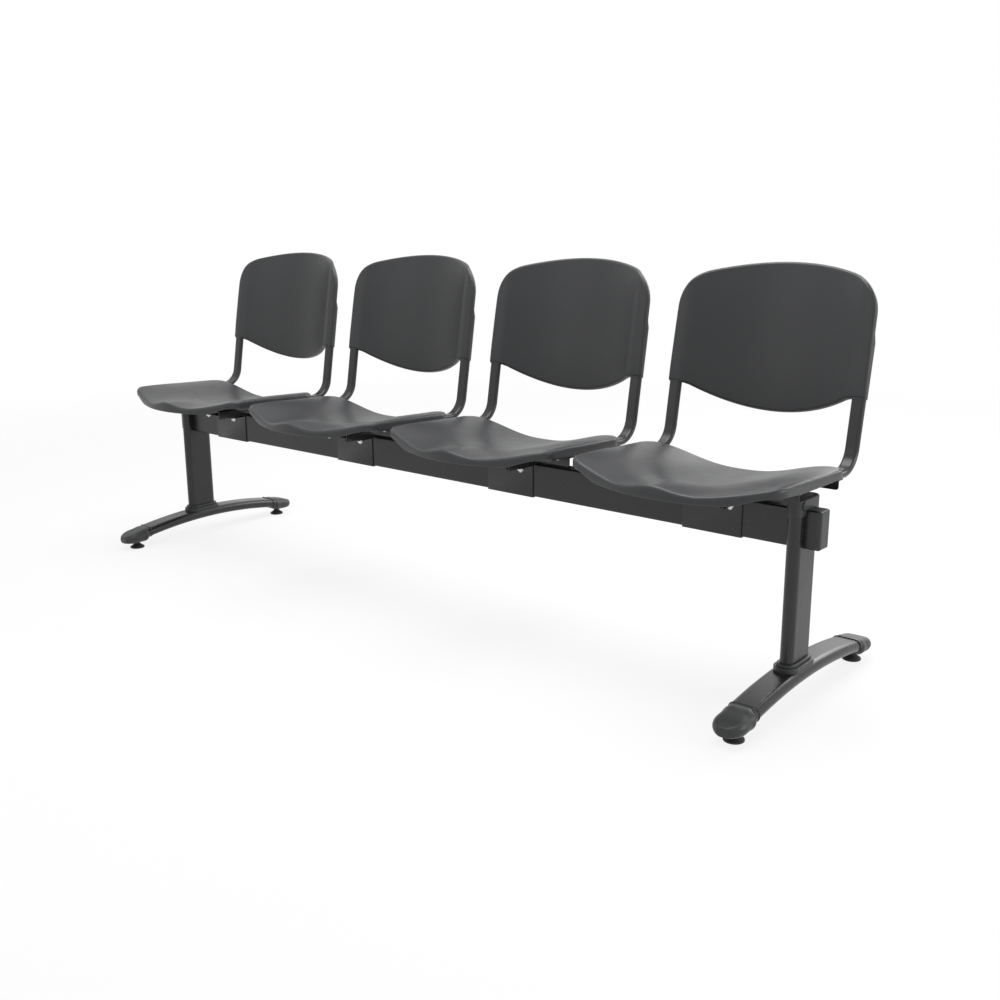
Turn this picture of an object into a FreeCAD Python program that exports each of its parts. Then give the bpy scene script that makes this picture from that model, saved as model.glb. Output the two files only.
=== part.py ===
import FreeCAD, Part
import math
import os
from FreeCAD import Vector

os.makedirs("parts", exist_ok=True)

# Four-seat beam bench, in millimetres. +X is the sitter's left, the seats face -Y, +Z is up.
# The origin is on the floor under the middle of the bench.

# Bench layout
seat_count = 4
seat_pitch = 550.0
leg_x = 1030.0              # leg column from the middle of the bench
beam_overhang = 49.0        # beam past the middle of a column
foot_front_reach = 240.0    # front levelling pad from the beam's middle plane
foot_rear_reach = 297.0     # rear levelling pad from the beam's middle plane
beam_y = (foot_front_reach - foot_rear_reach) / 2
leveller_y = (foot_front_reach + foot_rear_reach) / 2

# Beam and its end caps
beam_height = 80.0
beam_depth = 40.0
beam_wall = 2.0
beam_corner = 4.0
beam_top = 414.0
end_cap_flange = 10.0
end_cap_plug = 26.0
end_cap_round = 5.0
end_cap_plug_wall = 2.5

# Leg column
column_length = 90.0
column_width = 30.0
column_wall = 2.0
column_top = 433.0
window_gap = 0.3
top_cap_wall = 2.5
top_cap_skirt = 31.5
top_cap_round = 4.0
button_width = 12.0
button_height = 18.0
button_depth = 2.0
button_y = 31.0

# Foot
foot_width = 66.0
foot_height = 27.5
foot_wall = 2.0
foot_top = 79.5             # top of the arch at its crown
arch_radius = 1402.0        # top line of the arch
foot_tube_half = 258.0      # the tube stops inside the end caps
cap_mouth = 233.0           # edge of an end cap from the middle of the foot
cap_reach = 315.0           # tip of an end cap from the middle of the foot
cap_proud = 2.0
cap_floor = 20.0
cap_nose_drop = 4.0
cap_nose = 34.0             # the last stretch, which rounds off in plan
cap_nose_blunt = 3.0
cap_nose_squeeze = 0.35
cap_under_slope = 0.6
cap_stations = 9

# Collar where the column meets the foot
collar_low_margin = 12.0
collar_low_height = 8.0
collar_high_margin = 6.3
collar_high_height = 6.5
collar_round = 2.5

# Levellers
pad_diameter = 42.0
pad_rim = 4.0
pad_neck_diameter = 18.0
pad_height = 15.5
pad_edge = 1.0
stud_diameter = 10.0
stud_length = 42.0
stud_chamfer = 1.0
leveller_rise = 4.0         # how far a leveller can be screwed in from here
bore_spare = 1.0
socket_floor = 3.5

# Side tube of a seat: flat oval, bent once
tube_width = 30.0
tube_depth = 15.0
tube_wall = 1.5
tube_x = 220.0
tube_front = -142.0         # front end, from the beam's middle plane
bend_y = 127.6              # where the bend starts
bend_z = 461.0
bend_radius = 55.0
seat_tilt = 1.0             # degrees, down towards the back
back_lean = 9.5             # degrees from upright
upright_length = 215.0

# Cross rails under the side tubes
rail_thickness = 3.0
rail_flange = 22.0
rail_height = 21.5
rail_mid_height = 4.0
rail_half = 230.0
rail_shoulder = 190.0
rail_slope_end = 110.0
rail_end_round = 6.0
front_rail_y = -75.0
rear_rail_y = 103.0

# Arms on the beam
bracket_shift = 13.0        # the bracket sits this far to the sitter's left of the seat's middle
arm_outer = 81.0            # outer face of an arm from the bracket's middle
arm_width = 30.0
arm_thickness = 3.0
arm_front = -120.0
arm_rear = 126.0
arm_chamfer = 22.0

# Clamp round the beam
clamp_length = 140.0
clamp_thickness = 2.0
clamp_gap = 0.3
clamp_pull = 3.7            # free height left for tightening
clamp_flange_reach = 70.0
clamp_bend = 2.0

# Clamp bolts
bolt_diameter = 8.0
bolt_x = 62.0
bolt_y = 56.0
bolt_head_across = 13.0
bolt_head_height = 5.3
nut_height = 6.5
bolt_tail = 3.0
hole_gap = 0.5

# Seat shell, from the beam's middle plane
seat_half_width = 244.0
seat_front = -242.0         # front edge at the middle
seat_front_radius = 360.0   # round middle stretch of the front edge
seat_flank_angle = 18.0     # slant of the front edge towards the sides, in degrees
seat_rear = 135.0           # rear edge at the middle
seat_rear_radius = 1300.0
seat_rear_round = 38.0
seat_front_round = 45.0
seat_wall = 4.0
skirt_wall = 3.5
edge_band = 10.0            # least height of the turned-down edge

# Sitting surface
rim_z_rear = 477.5          # side rim over the rear edge
rim_slope = 0.032           # rise of the side rim towards the front
bowl_z_rear = 441.0         # middle line of the hollow, at the rear and at the front
bowl_z_front = 467.0
bowl_run = 1.6              # above 1, the middle line stays low at the rear
bowl_reach = 0.92           # share of the half width where the hollow meets the rim
bowl_side = 2.6             # above 1, the hollow is flat in the middle
thigh_reach = 175.0         # how far the shape of the front edge runs back
thigh_z = 459.0             # front edge in the two thigh troughs
thigh_x = 85.0
pommel_rise = 11.5          # hump between the troughs
pommel_width = 48.0
corner_rise = 27.0          # rise of the front edge from a trough to a corner
corner_x = 232.0
corner_bow = 1.5

# Lower line of the seat's front and side skirts
skirt_z = 460.5
skirt_bump = 6.0            # it rises near the front corners
skirt_bump_y = -178.0
skirt_bump_width = 70.0
skirt_deep = 20.0           # and drops under the front edge
skirt_deep_x = 140.0
skirt_deep_run = 95.0
skirt_deep_y = -185.0
skirt_deep_fade = 80.0

# Back shell, drawn along the leaning uprights
back_half_width = 237.5
back_half_top = 232.5
back_start = 100.4          # lower corners, along the upright from the end of the bend
back_side_height = 235.0    # where the side would meet the crown without its round corner
back_crown = 285.5
back_corner_round = 91.5
back_lobe = 45.0
back_lobe_blend = 83.0
back_lobe_step = 2.0
back_hollow = 60.0          # depth of the hollow across the back
back_hollow_blend = 54.0
back_flat = 19.0            # flat strip over each upright
back_top_roll = 8.2         # the crown rolls rearwards
back_top_roll_start = 121.0
back_low_roll = 4.5         # and so does the lobe
back_low_roll_start = 60.0
back_wall = 4.0
back_rim_wall = 3.5
back_rim_depth = 13.0
pocket_wall = 1.8
pocket_taper = 45.0         # a pocket runs out into the sheet above its upright
pocket_tip_width = 26.0
pocket_tip_depth = 4.0

# Screws that hold the shells
screw_diameter = 5.0
screw_head = 10.0
screw_head_height = 3.0
screw_head_chamfer = 0.8
boss_diameter = 20.0
seat_screw_front = -105.0
seat_screw_rear = 62.0
screw_length = 22.0
back_screw_height = 40.0

# Column bolts
column_bolt_head = 14.0
column_bolt_head_height = 4.5
column_bolt_offset = 20.0
column_bolt_round = 2.7
column_bolt_reach = 6.0     # inside the beam's rear face

# Clearances
fit = 0.05                  # running fit of a stud or a shank, each side
play = 0.3                  # free air between separate pieces
screw_sink = 0.1            # a screw's head presses this far into the curved tube

# Cutters and cutting faces
overrun = 1.0               # how far a cutter or a root runs past a face
face_margin = 6.0           # how far a cutting face runs past the shell's outline
face_columns = 33
face_rows = 30
block_spare = 60.0          # height of a shell's block past its lowest and highest point

tilt = math.radians(seat_tilt)
lean = math.radians(back_lean)
beam_bottom = beam_top - beam_height
beam_half = leg_x + beam_overhang
run_direction = Vector(0, math.cos(tilt), -math.sin(tilt))
run_up = Vector(0, math.sin(tilt), math.cos(tilt))
lean_direction = Vector(0, math.sin(lean), math.cos(lean))
lean_back = Vector(0, math.cos(lean), -math.sin(lean))
bend_angle = 90 + seat_tilt - back_lean
bend_start = Vector(0, beam_y + bend_y, bend_z)
bend_centre = bend_start + run_up * bend_radius
bend_end = bend_centre + lean_back * bend_radius


def save(shape, name):
    """Write one piece, and say when it isn't sound."""
    if not shape.isValid() or shape.Volume <= 0:
        print("not sound:", name)
    shape.exportStep("parts/" + name + ".step")


def joined(shapes):
    """One solid out of overlapping solids."""
    whole = shapes[0]
    for shape in shapes[1:]:
        whole = whole.fuse(shape)
    return whole.removeSplitter()


def block(x0, x1, y0, y1, z0, z1):
    return Part.makeBox(x1 - x0, y1 - y0, z1 - z0, Vector(x0, y0, z0))


def polygon_face(points):
    return Part.Face(Part.makePolygon(points + [points[0]]))


def closed_face(edges):
    return Part.Face(Part.Wire(Part.sortEdges(edges)[0]))


def oval_wire(centre, along, across, length, width):
    """Flat oval: two straight sides and two half circles."""
    reach = (length - width) / 2
    radius = width / 2
    far = centre + along * reach
    near = centre - along * reach
    side = across * radius
    edges = [
        Part.makeLine(near + side, far + side),
        Part.Arc(far + side, far + along * radius, far - side).toShape(),
        Part.makeLine(far - side, near - side),
        Part.Arc(near - side, near - along * radius, near + side).toShape(),
    ]
    return Part.Wire(edges)


def oval_face(centre, along, across, length, width, wall=0.0):
    outer = oval_wire(centre, along, across, length, width)
    if wall <= 0:
        return Part.Face(outer)
    inner = oval_wire(centre, along, across, length - 2 * wall, width - 2 * wall)
    return Part.Face(outer).cut(Part.Face(inner)).Faces[0]


def oval_post(x, y, length, width, z0, z1, wall=0.0):
    """Upright flat oval with its long side along Y."""
    face = oval_face(Vector(x, y, z0), Vector(0, 1, 0), Vector(1, 0, 0), length, width, wall)
    return face.extrude(Vector(0, 0, z1 - z0))


def edges_at_height(shape, z):
    return [edge for edge in shape.Edges
            if abs(edge.BoundBox.ZMin - z) < 1e-4 and abs(edge.BoundBox.ZMax - z) < 1e-4]


def edges_along_x(shape):
    found = []
    for edge in shape.Edges:
        box = edge.BoundBox
        if box.XLength > 1 and box.YLength < 1e-4 and box.ZLength < 1e-4:
            found.append(edge)
    return found


def hexagon(centre, across_flats, height):
    radius = across_flats / math.sqrt(3)
    corners = [centre + Vector(radius * math.cos(math.radians(60 * turn)),
                               radius * math.sin(math.radians(60 * turn)), 0) for turn in range(6)]
    return polygon_face(corners).extrude(Vector(0, 0, height))


def beam_tube():
    half = beam_half - end_cap_flange
    outer = block(-half, half, beam_y - beam_depth / 2, beam_y + beam_depth / 2, beam_bottom, beam_top)
    outer = outer.makeFillet(beam_corner, edges_along_x(outer))
    inner = block(-half - overrun, half + overrun, beam_y - beam_depth / 2 + beam_wall,
                  beam_y + beam_depth / 2 - beam_wall, beam_bottom + beam_wall, beam_top - beam_wall)
    inner = inner.makeFillet(beam_corner - beam_wall, edges_along_x(inner))
    tube = outer.cut(inner)
    for side in (-1, 1):
        for z in column_bolt_heights():
            hole_radius = bolt_diameter / 2 + hole_gap / 2
            tube = tube.cut(Part.makeCylinder(hole_radius, beam_depth, Vector(side * leg_x, beam_y, z),
                                              Vector(0, 1, 0)))
    return tube


def beam_end_cap(side):
    """Rounded flange flush with the tube, and a plug inside it."""
    inner_x = beam_half - end_cap_flange
    flange = block(inner_x, beam_half, beam_y - beam_depth / 2, beam_y + beam_depth / 2,
                   beam_bottom, beam_top)
    flange = flange.makeFillet(beam_corner, edges_along_x(flange))
    outer_edges = [edge for edge in flange.Edges if abs(edge.BoundBox.XMin - beam_half) < 1e-4]
    flange = flange.makeFillet(end_cap_round, outer_edges)
    inset = beam_wall + fit * 2
    plug = block(inner_x - end_cap_plug, inner_x + overrun, beam_y - beam_depth / 2 + inset,
                 beam_y + beam_depth / 2 - inset, beam_bottom + inset, beam_top - inset)
    plug = plug.makeFillet(beam_corner - beam_wall, edges_along_x(plug))
    hollow_wall = inset + end_cap_plug_wall
    hollow = block(inner_x - end_cap_plug - overrun, inner_x, beam_y - beam_depth / 2 + hollow_wall,
                   beam_y + beam_depth / 2 - hollow_wall, beam_bottom + hollow_wall,
                   beam_top - hollow_wall)
    cap = joined([flange, plug.cut(hollow)])
    if side < 0:
        cap = cap.mirror(Vector(0, 0, 0), Vector(1, 0, 0))
    return cap


def column_bolt_heights():
    middle = beam_top - beam_height / 2
    return (middle - column_bolt_offset, middle + column_bolt_offset)


def arch_solid(half, width, height, top):
    """Bowed flat oval bar along Y, from -half to half of its own middle."""
    centre_z = top - arch_radius
    middle = Vector(0, 0, top - height / 2)
    face = oval_face(middle, Vector(1, 0, 0), Vector(0, 0, 1), width, height)
    turn = math.degrees(math.asin(half / arch_radius))
    face.rotate(Vector(0, 0, centre_z), Vector(1, 0, 0), -turn)
    return face.revolve(Vector(0, 0, centre_z), Vector(1, 0, 0), 2 * turn)


def arch_top(y):
    return foot_top - arch_radius + math.sqrt(arch_radius ** 2 - y ** 2)


def foot_tube(x):
    outer = arch_solid(foot_tube_half, foot_width, foot_height, foot_top)
    inner = arch_solid(foot_tube_half + overrun, foot_width - 2 * foot_wall, foot_height - 2 * foot_wall,
                       foot_top - foot_wall)
    tube = outer.cut(inner)
    tube.translate(Vector(x, 0, 0))
    return tube


def leg_column(x):
    bottom = foot_top - foot_height / 2
    column = oval_post(x, beam_y, column_length, column_width, bottom, column_top, column_wall)
    window = block(x - column_width, x + column_width, beam_y - beam_depth / 2 - window_gap,
                   beam_y + beam_depth / 2 + window_gap, beam_bottom - window_gap, beam_top + window_gap)
    column = column.cut(window)
    arch = arch_solid(foot_tube_half, foot_width, foot_height, foot_top)
    arch.translate(Vector(x, 0, 0))
    column = column.cut(arch)
    for z in column_bolt_heights():
        column = column.cut(Part.makeCylinder(bolt_diameter / 2 + hole_gap / 2, column_length,
                                              Vector(x, beam_y, z), Vector(0, 1, 0)))
    return column


def column_top_cap(x, side):
    """Plastic cap over the column, notched where the beam passes, with its oval clip button."""
    outer_length = column_length + 2 * top_cap_wall
    outer_width = column_width + 2 * top_cap_wall
    bottom = column_top - top_cap_skirt
    top = column_top + top_cap_wall
    cap = oval_post(x, beam_y, outer_length, outer_width, bottom, top)
    cap = cap.makeFillet(top_cap_round, edges_at_height(cap, top))
    bore = oval_post(x, beam_y, column_length + 4 * fit, column_width + 4 * fit,
                     bottom - overrun, column_top)
    cap = cap.cut(bore)
    cap = cap.cut(block(x - outer_width, x + outer_width, beam_y - beam_depth / 2 - window_gap,
                        beam_y + beam_depth / 2 + window_gap, bottom - overrun, beam_top + window_gap))
    root_x = x + side * (outer_width / 2 - overrun)
    centre = Vector(root_x, beam_y - button_y, top - button_height / 2 - top_cap_round / 2)
    button = oval_face(centre, Vector(0, 0, 1), Vector(0, 1, 0), button_height, button_width)
    button = button.extrude(Vector(side * (overrun + button_depth), 0, 0))
    return joined([cap, button])


def collar(x):
    """Two-step ring round the foot of the column, sitting on the arch."""
    base = foot_top - foot_height / 2
    low_top = foot_top + collar_low_height
    high_top = low_top + collar_high_height
    low = oval_post(x, beam_y, column_length + 2 * collar_low_margin,
                    column_width + 2 * collar_low_margin, base, low_top)
    low = low.makeFillet(collar_round, edges_at_height(low, low_top))
    high = oval_post(x, beam_y, column_length + 2 * collar_high_margin,
                     column_width + 2 * collar_high_margin, base, high_top)
    high = high.makeFillet(collar_round, edges_at_height(high, high_top))
    ring = joined([low, high])
    bore = oval_post(x, beam_y, column_length + 4 * fit, column_width + 4 * fit,
                     base - overrun, high_top + overrun)
    ring = ring.cut(bore)
    arch = arch_solid(foot_tube_half, foot_width, foot_height, foot_top)
    arch.translate(Vector(x, 0, 0))
    ring = ring.cut(arch)
    keep = block(x - column_length, x + column_length, beam_y - column_length, beam_y + column_length,
                 arch_top(abs(beam_y) + column_length) - overrun, high_top + overrun)
    return ring.common(keep)


def cap_section(y):
    """Height and half width of an end cap at a distance from the middle of the foot."""
    slope = cap_mouth / arch_radius
    share = (y - cap_mouth) / (cap_reach - cap_mouth)
    top = arch_top(cap_mouth) + cap_proud - (y - cap_mouth) * slope - cap_nose_drop * share ** 2
    bottom = max(cap_floor, arch_top(cap_mouth) - foot_height - cap_proud
                 - (y - cap_mouth) * cap_under_slope)
    half = foot_width / 2 + cap_proud
    into_nose = y - (cap_reach - cap_nose)
    if into_nose > 0:
        turn = math.sqrt(1 - (into_nose / (cap_nose + cap_nose_blunt)) ** 2)
        half = half * turn
        middle = (top + bottom) / 2
        squeeze = 1 - (1 - turn) * cap_nose_squeeze
        top = middle + (top - middle) * squeeze
        bottom = middle - (middle - bottom) * squeeze
    return bottom, top, half


def foot_end_cap(x, side):
    """Blunt plastic end of the foot: droops past the tube and holds a leveller."""
    wires = []
    for step in range(cap_stations + 1):
        share = math.sin(math.pi / 2 * step / cap_stations)
        y = cap_mouth + (cap_reach - cap_mouth) * share
        bottom, top, half = cap_section(y)
        wires.append(oval_wire(Vector(0, y, (bottom + top) / 2), Vector(1, 0, 0), Vector(0, 0, 1),
                               2 * half, top - bottom))
    body = Part.makeLoft(wires, True, False)
    tube_room = arch_solid(foot_tube_half + play, foot_width + 4 * fit, foot_height + 4 * fit,
                           foot_top + 2 * fit)
    body = body.cut(tube_room)
    bore_top = socket_floor + play + stud_length + leveller_rise + bore_spare
    bore = Part.makeCylinder(stud_diameter / 2 + fit, bore_top, Vector(0, leveller_y, 0))
    body = body.cut(bore)
    if side < 0:
        body = body.mirror(Vector(0, 0, 0), Vector(0, 1, 0))
    body.translate(Vector(x, 0, 0))
    return body


def tube_line(y):
    """Height of a side tube's middle line at a distance from the beam's middle plane."""
    return bend_z + (bend_y - y) * math.tan(tilt)


def side_tube_bar(x, grow=0.0, extra=0.0):
    """Flat oval bar along the side tube: run, bend and upright."""
    across = Vector(1, 0, 0)
    run_length = (bend_y - tube_front) / math.cos(tilt) + extra
    start = bend_start - run_direction * run_length
    width = tube_width + 2 * grow
    depth = tube_depth + 2 * grow
    run = oval_face(start, across, run_up, width, depth).extrude(run_direction * run_length)
    bend = oval_face(bend_start, across, run_up, width, depth).revolve(bend_centre, across, bend_angle)
    upright = oval_face(bend_end, across, lean_back, width, depth)
    upright = upright.extrude(lean_direction * (upright_length + extra))
    bar = joined([run, bend, upright])
    bar.translate(Vector(x, 0, 0))
    return bar


def upright_point(x, along, behind=0.0):
    """A point of the leaning upright: along it from the end of the bend, and behind its middle."""
    return bend_end + Vector(x, 0, 0) + lean_direction * along + lean_back * behind


def side_tube(side):
    x = side * tube_x
    tube = side_tube_bar(x).cut(side_tube_bar(x, -tube_wall, overrun))
    hole = screw_diameter / 2 + hole_gap / 2
    for y in (seat_screw_front, seat_screw_rear):
        tube = tube.cut(Part.makeCylinder(hole, 4 * tube_depth,
                                          Vector(x, beam_y + y, tube_line(y) - 2 * tube_depth)))
    start = upright_point(x, back_start + back_screw_height, -tube_depth)
    return tube.cut(Part.makeCylinder(hole, 2 * tube_depth, start, lean_back))


def rail_levels(rail_y):
    """Lowest and highest level of a cross rail that hangs under the side tubes."""
    highest = tube_line(rail_y + rail_flange) - tube_depth / 2 / math.cos(tilt)
    return highest - rail_height, highest


def cross_rail(rail_y):
    """Pressed angle: deep at the ends that carry the tubes, low under the seat's hollow."""
    low, high = rail_levels(rail_y)
    middle = low + rail_mid_height
    y = beam_y + rail_y
    top_line = [Vector(-rail_half, y, high), Vector(-rail_shoulder, y, high),
                Vector(-rail_slope_end, y, middle), Vector(rail_slope_end, y, middle),
                Vector(rail_shoulder, y, high), Vector(rail_half, y, high)]
    web = polygon_face([Vector(-rail_half, y, low)] + top_line + [Vector(rail_half, y, low)])
    web = web.extrude(Vector(0, rail_thickness, 0))
    low_corners = [edge for edge in web.Edges
                   if edge.BoundBox.YLength > 1 and abs(edge.BoundBox.ZMax - low) < 1e-4]
    web = web.makeFillet(rail_end_round, low_corners)
    under_line = [point - Vector(0, 0, rail_thickness) for point in reversed(top_line)]
    flange = polygon_face(top_line + under_line).extrude(Vector(0, rail_flange, 0))
    return joined([web, flange])


def arm_level(y):
    """Top of an arm: it carries both cross rails."""
    front = rail_levels(front_rail_y)[0]
    rear = rail_levels(rear_rail_y)[0]
    return front + (rear - front) * (y - front_rail_y) / (rear_rail_y - front_rail_y)


def bracket_arm(side):
    """Channel on top of the beam, open towards the middle, with a slanted front end."""
    ends = (arm_front, arm_rear)
    top = [Vector(0, beam_y + y, arm_level(y)) for y in ends]
    foot = [Vector(0, beam_y + y, beam_top) for y in ends]
    lift = Vector(0, 0, arm_thickness)
    web = polygon_face([foot[0], foot[1], top[1], top[0]]).extrude(Vector(arm_thickness, 0, 0))
    upper = polygon_face([top[0] - lift, top[1] - lift, top[1], top[0]])
    lower = polygon_face([foot[0], foot[1], foot[1] + lift, foot[0] + lift])
    upper = upper.extrude(Vector(arm_width, 0, 0))
    lower = lower.extrude(Vector(arm_width, 0, 0))
    corner = polygon_face([Vector(arm_width, beam_y + arm_front, beam_top),
                           Vector(arm_width, beam_y + arm_front + arm_chamfer, beam_top),
                           Vector(arm_width - arm_chamfer, beam_y + arm_front, beam_top)])
    lower = lower.cut(corner.extrude(lift))
    for y in (-bolt_y, bolt_y):
        lower = lower.cut(Part.makeCylinder((bolt_diameter + hole_gap) / 2, arm_thickness,
                                            Vector(arm_outer - bolt_x, beam_y + y, beam_top)))
    arm = joined([web, upper, lower])
    if side > 0:
        arm = arm.mirror(Vector(0, 0, 0), Vector(1, 0, 0))
    arm.translate(Vector(bracket_shift + side * arm_outer, 0, 0))
    return arm


def beam_clamp():
    """Pressed plate round the front, underside and rear of the beam, with flanges at the top."""
    inner = beam_depth / 2 + clamp_gap
    outer = inner + clamp_thickness
    top = beam_top - clamp_pull
    floor = beam_bottom - clamp_gap
    right = [Vector(0, clamp_flange_reach, top), Vector(0, inner, top), Vector(0, inner, floor)]
    below = [Vector(0, outer, floor - clamp_thickness), Vector(0, outer, top - clamp_thickness),
             Vector(0, clamp_flange_reach, top - clamp_thickness)]
    mirrored = [Vector(0, -point.y, point.z) for point in right]
    mirrored_below = [Vector(0, -point.y, point.z) for point in below]
    outline = right + mirrored[::-1] + mirrored_below[::-1] + below
    plate = polygon_face(outline).extrude(Vector(clamp_length, 0, 0))
    plate = plate.makeFillet(clamp_bend, edges_at_bends(plate, outer, floor - clamp_thickness))
    plate.translate(Vector(bracket_shift - clamp_length / 2, beam_y, 0))
    for x, y in bolt_places():
        plate = plate.cut(Part.makeCylinder((bolt_diameter + hole_gap) / 2, 4 * clamp_thickness,
                                            Vector(x, y, top - 2 * clamp_thickness)))
    return plate


def edges_at_bends(plate, outer, low):
    return [edge for edge in edges_along_x(plate)
            if abs(abs(edge.BoundBox.YMin) - outer) < 1e-4 and abs(edge.BoundBox.ZMin - low) < 1e-4]


def bolt_places():
    return [(bracket_shift + side * bolt_x, beam_y + y)
            for side in (-1, 1) for y in (-bolt_y, bolt_y)]


def clamp_bolts():
    """Hexagon bolts from the arms down through the clamp's flanges, each with its nut."""
    seat = beam_top + arm_thickness
    under = beam_top - clamp_pull - clamp_thickness
    solids = []
    for x, y in bolt_places():
        tail = under - nut_height - bolt_tail
        shank = Part.makeCylinder(bolt_diameter / 2, seat - tail + overrun, Vector(x, y, tail))
        head = hexagon(Vector(x, y, seat), bolt_head_across, bolt_head_height)
        solids.append(joined([shank, head]))
        nut = hexagon(Vector(x, y, under - nut_height), bolt_head_across, nut_height)
        solids.append(nut.cut(Part.makeCylinder(bolt_diameter / 2 + fit, nut_height,
                                                Vector(x, y, under - nut_height))))
    return Part.makeCompound(solids)


def front_edge(x, inset=0.0):
    """Front edge of the seat: a round middle and slanted flanks."""
    radius = seat_front_radius - inset
    centre_y = seat_front + seat_front_radius
    flank = math.radians(seat_flank_angle)
    turn_x = radius * math.sin(flank)
    if abs(x) <= turn_x:
        return centre_y - math.sqrt(radius ** 2 - x ** 2)
    return centre_y - radius * math.cos(flank) + (abs(x) - turn_x) * math.tan(flank)


def rear_edge(x, inset=0.0):
    radius = seat_rear_radius - inset
    return seat_rear - seat_rear_radius + math.sqrt(radius ** 2 - x ** 2)


def seat_prism(inset, z0, z1):
    """The seat's plan, drawn in by inset, as an upright block."""
    half = seat_half_width - inset
    turn_x = (seat_front_radius - inset) * math.sin(math.radians(seat_flank_angle))
    corner_front = Vector(half, front_edge(half, inset), z0)
    corner_rear = Vector(half, rear_edge(half, inset), z0)
    turn = Vector(turn_x, front_edge(turn_x, inset), z0)

    def other(point):
        return Vector(-point.x, point.y, point.z)

    edges = [
        Part.Arc(other(turn), Vector(0, front_edge(0, inset), z0), turn).toShape(),
        Part.makeLine(turn, corner_front),
        Part.makeLine(corner_front, corner_rear),
        Part.Arc(corner_rear, Vector(0, rear_edge(0, inset), z0), other(corner_rear)).toShape(),
        Part.makeLine(other(corner_rear), other(corner_front)),
        Part.makeLine(other(corner_front), other(turn)),
    ]
    prism = Part.Face(Part.Wire(edges)).extrude(Vector(0, 0, z1 - z0))
    prism = prism.makeFillet(seat_front_round - inset, corner_edges(prism, corner_front))
    return prism.makeFillet(seat_rear_round - inset, corner_edges(prism, corner_rear))


def corner_edges(prism, corner):
    return [edge for edge in prism.Edges
            if edge.BoundBox.ZLength > 1 and abs(abs(edge.BoundBox.XMin) - corner.x) < 1e-3
            and abs(edge.BoundBox.YMin - corner.y) < 1e-3 and edge.BoundBox.YLength < 1e-3]


def smooth_share(share):
    """Goes from 0 to 1 without a corner at either end."""
    share = min(1.0, max(0.0, share))
    return share * share * (3 - 2 * share)


def front_line(x):
    """Height of the front edge: a hump, two thigh troughs and two high corners."""
    hump = pommel_rise * math.exp(-(x / pommel_width) ** 2)
    share = min(1.0, max(0.0, (abs(x) - thigh_x) / (corner_x - thigh_x)))
    return thigh_z + hump + corner_rise * share ** corner_bow


def seat_top(x, y):
    """Height of the sitting surface: a hollow that opens towards the shaped front edge."""
    rim = rim_z_rear + (seat_rear - y) * rim_slope
    along = max(0.0, (seat_rear - y) / (seat_rear - seat_front))
    middle = bowl_z_rear + (bowl_z_front - bowl_z_rear) * along ** bowl_run
    share = min(1.0, abs(x) / seat_half_width / bowl_reach)
    bowl = middle + (rim - middle) * math.sin(math.pi / 2 * share) ** bowl_side
    weight = smooth_share((y - front_edge(x)) / thigh_reach)
    return bowl * weight + front_line(x) * (1 - weight)


def skirt_line(x, y):
    """Height of the skirt's lower edge."""
    bump = skirt_bump * math.exp(-((y - skirt_bump_y) / skirt_bump_width) ** 2)
    inwards = 1 - smooth_share((abs(x) - skirt_deep_x) / skirt_deep_run)
    forwards = 1 - smooth_share((y - skirt_deep_y) / skirt_deep_fade)
    return skirt_z + bump - skirt_deep * inwards * forwards


def smooth_face(rows):
    surface = Part.BSplineSurface()
    surface.interpolate(rows)
    return surface.toShape()


def seat_face(level, drop):
    """The face z = level(x, y) - drop, a little larger than the seat."""
    rows = []
    for column in range(face_columns):
        x = (seat_half_width + face_margin) * (2 * column / (face_columns - 1) - 1)
        first = front_edge(x) - face_margin
        last = rear_edge(x) + face_margin
        places = [first + (last - first) * row / (face_rows - 1) for row in range(face_rows)]
        rows.append([Vector(x, y, level(x, y) - drop) for y in places])
    return smooth_face(rows)


def seat_shell():
    """Moulded seat: thin plate, turned-down edge, skirts and four bosses on the tubes."""
    low = bowl_z_rear - block_spare
    high = rim_z_rear + block_spare
    prism = seat_prism(0, low, high)
    ring = prism.cut(seat_prism(skirt_wall, low - overrun, high + overrun))
    upwards = Vector(0, 0, 2 * (high - low))
    above = seat_face(seat_top, 0).extrude(upwards)
    plate = prism.cut(above).cut(seat_face(seat_top, seat_wall).extrude(-upwards))
    edge = ring.cut(above)
    band = edge.cut(seat_face(seat_top, edge_band).extrude(-upwards))
    skirt = edge.cut(seat_face(skirt_line, 0).extrude(-upwards))
    shell = joined([plate, band] + skirt.Solids)
    shell.translate(Vector(0, beam_y, 0))
    places = [(side * tube_x, y) for side in (-1, 1) for y in (seat_screw_front, seat_screw_rear)]
    for x, y in places:
        foot = tube_line(y)
        shell = shell.fuse(Part.makeCylinder(boss_diameter / 2, seat_top(x, y) - seat_wall / 2 - foot,
                                             Vector(x, beam_y + y, foot)))
    for side in (-1, 1):
        shell = shell.cut(side_tube_bar(side * tube_x, play, overrun))
    for x, y in places:
        shell = shell.cut(Part.makeCylinder(screw_diameter / 2 + fit, screw_length + fit,
                                            screw_foot(x, y)))
    return shell


def screw_foot(x, y):
    """Underside of the side tube, where a seat screw's head sits."""
    return Vector(x, beam_y + y, tube_line(y) - tube_depth / 2 / math.cos(tilt) - screw_sink)


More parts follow.
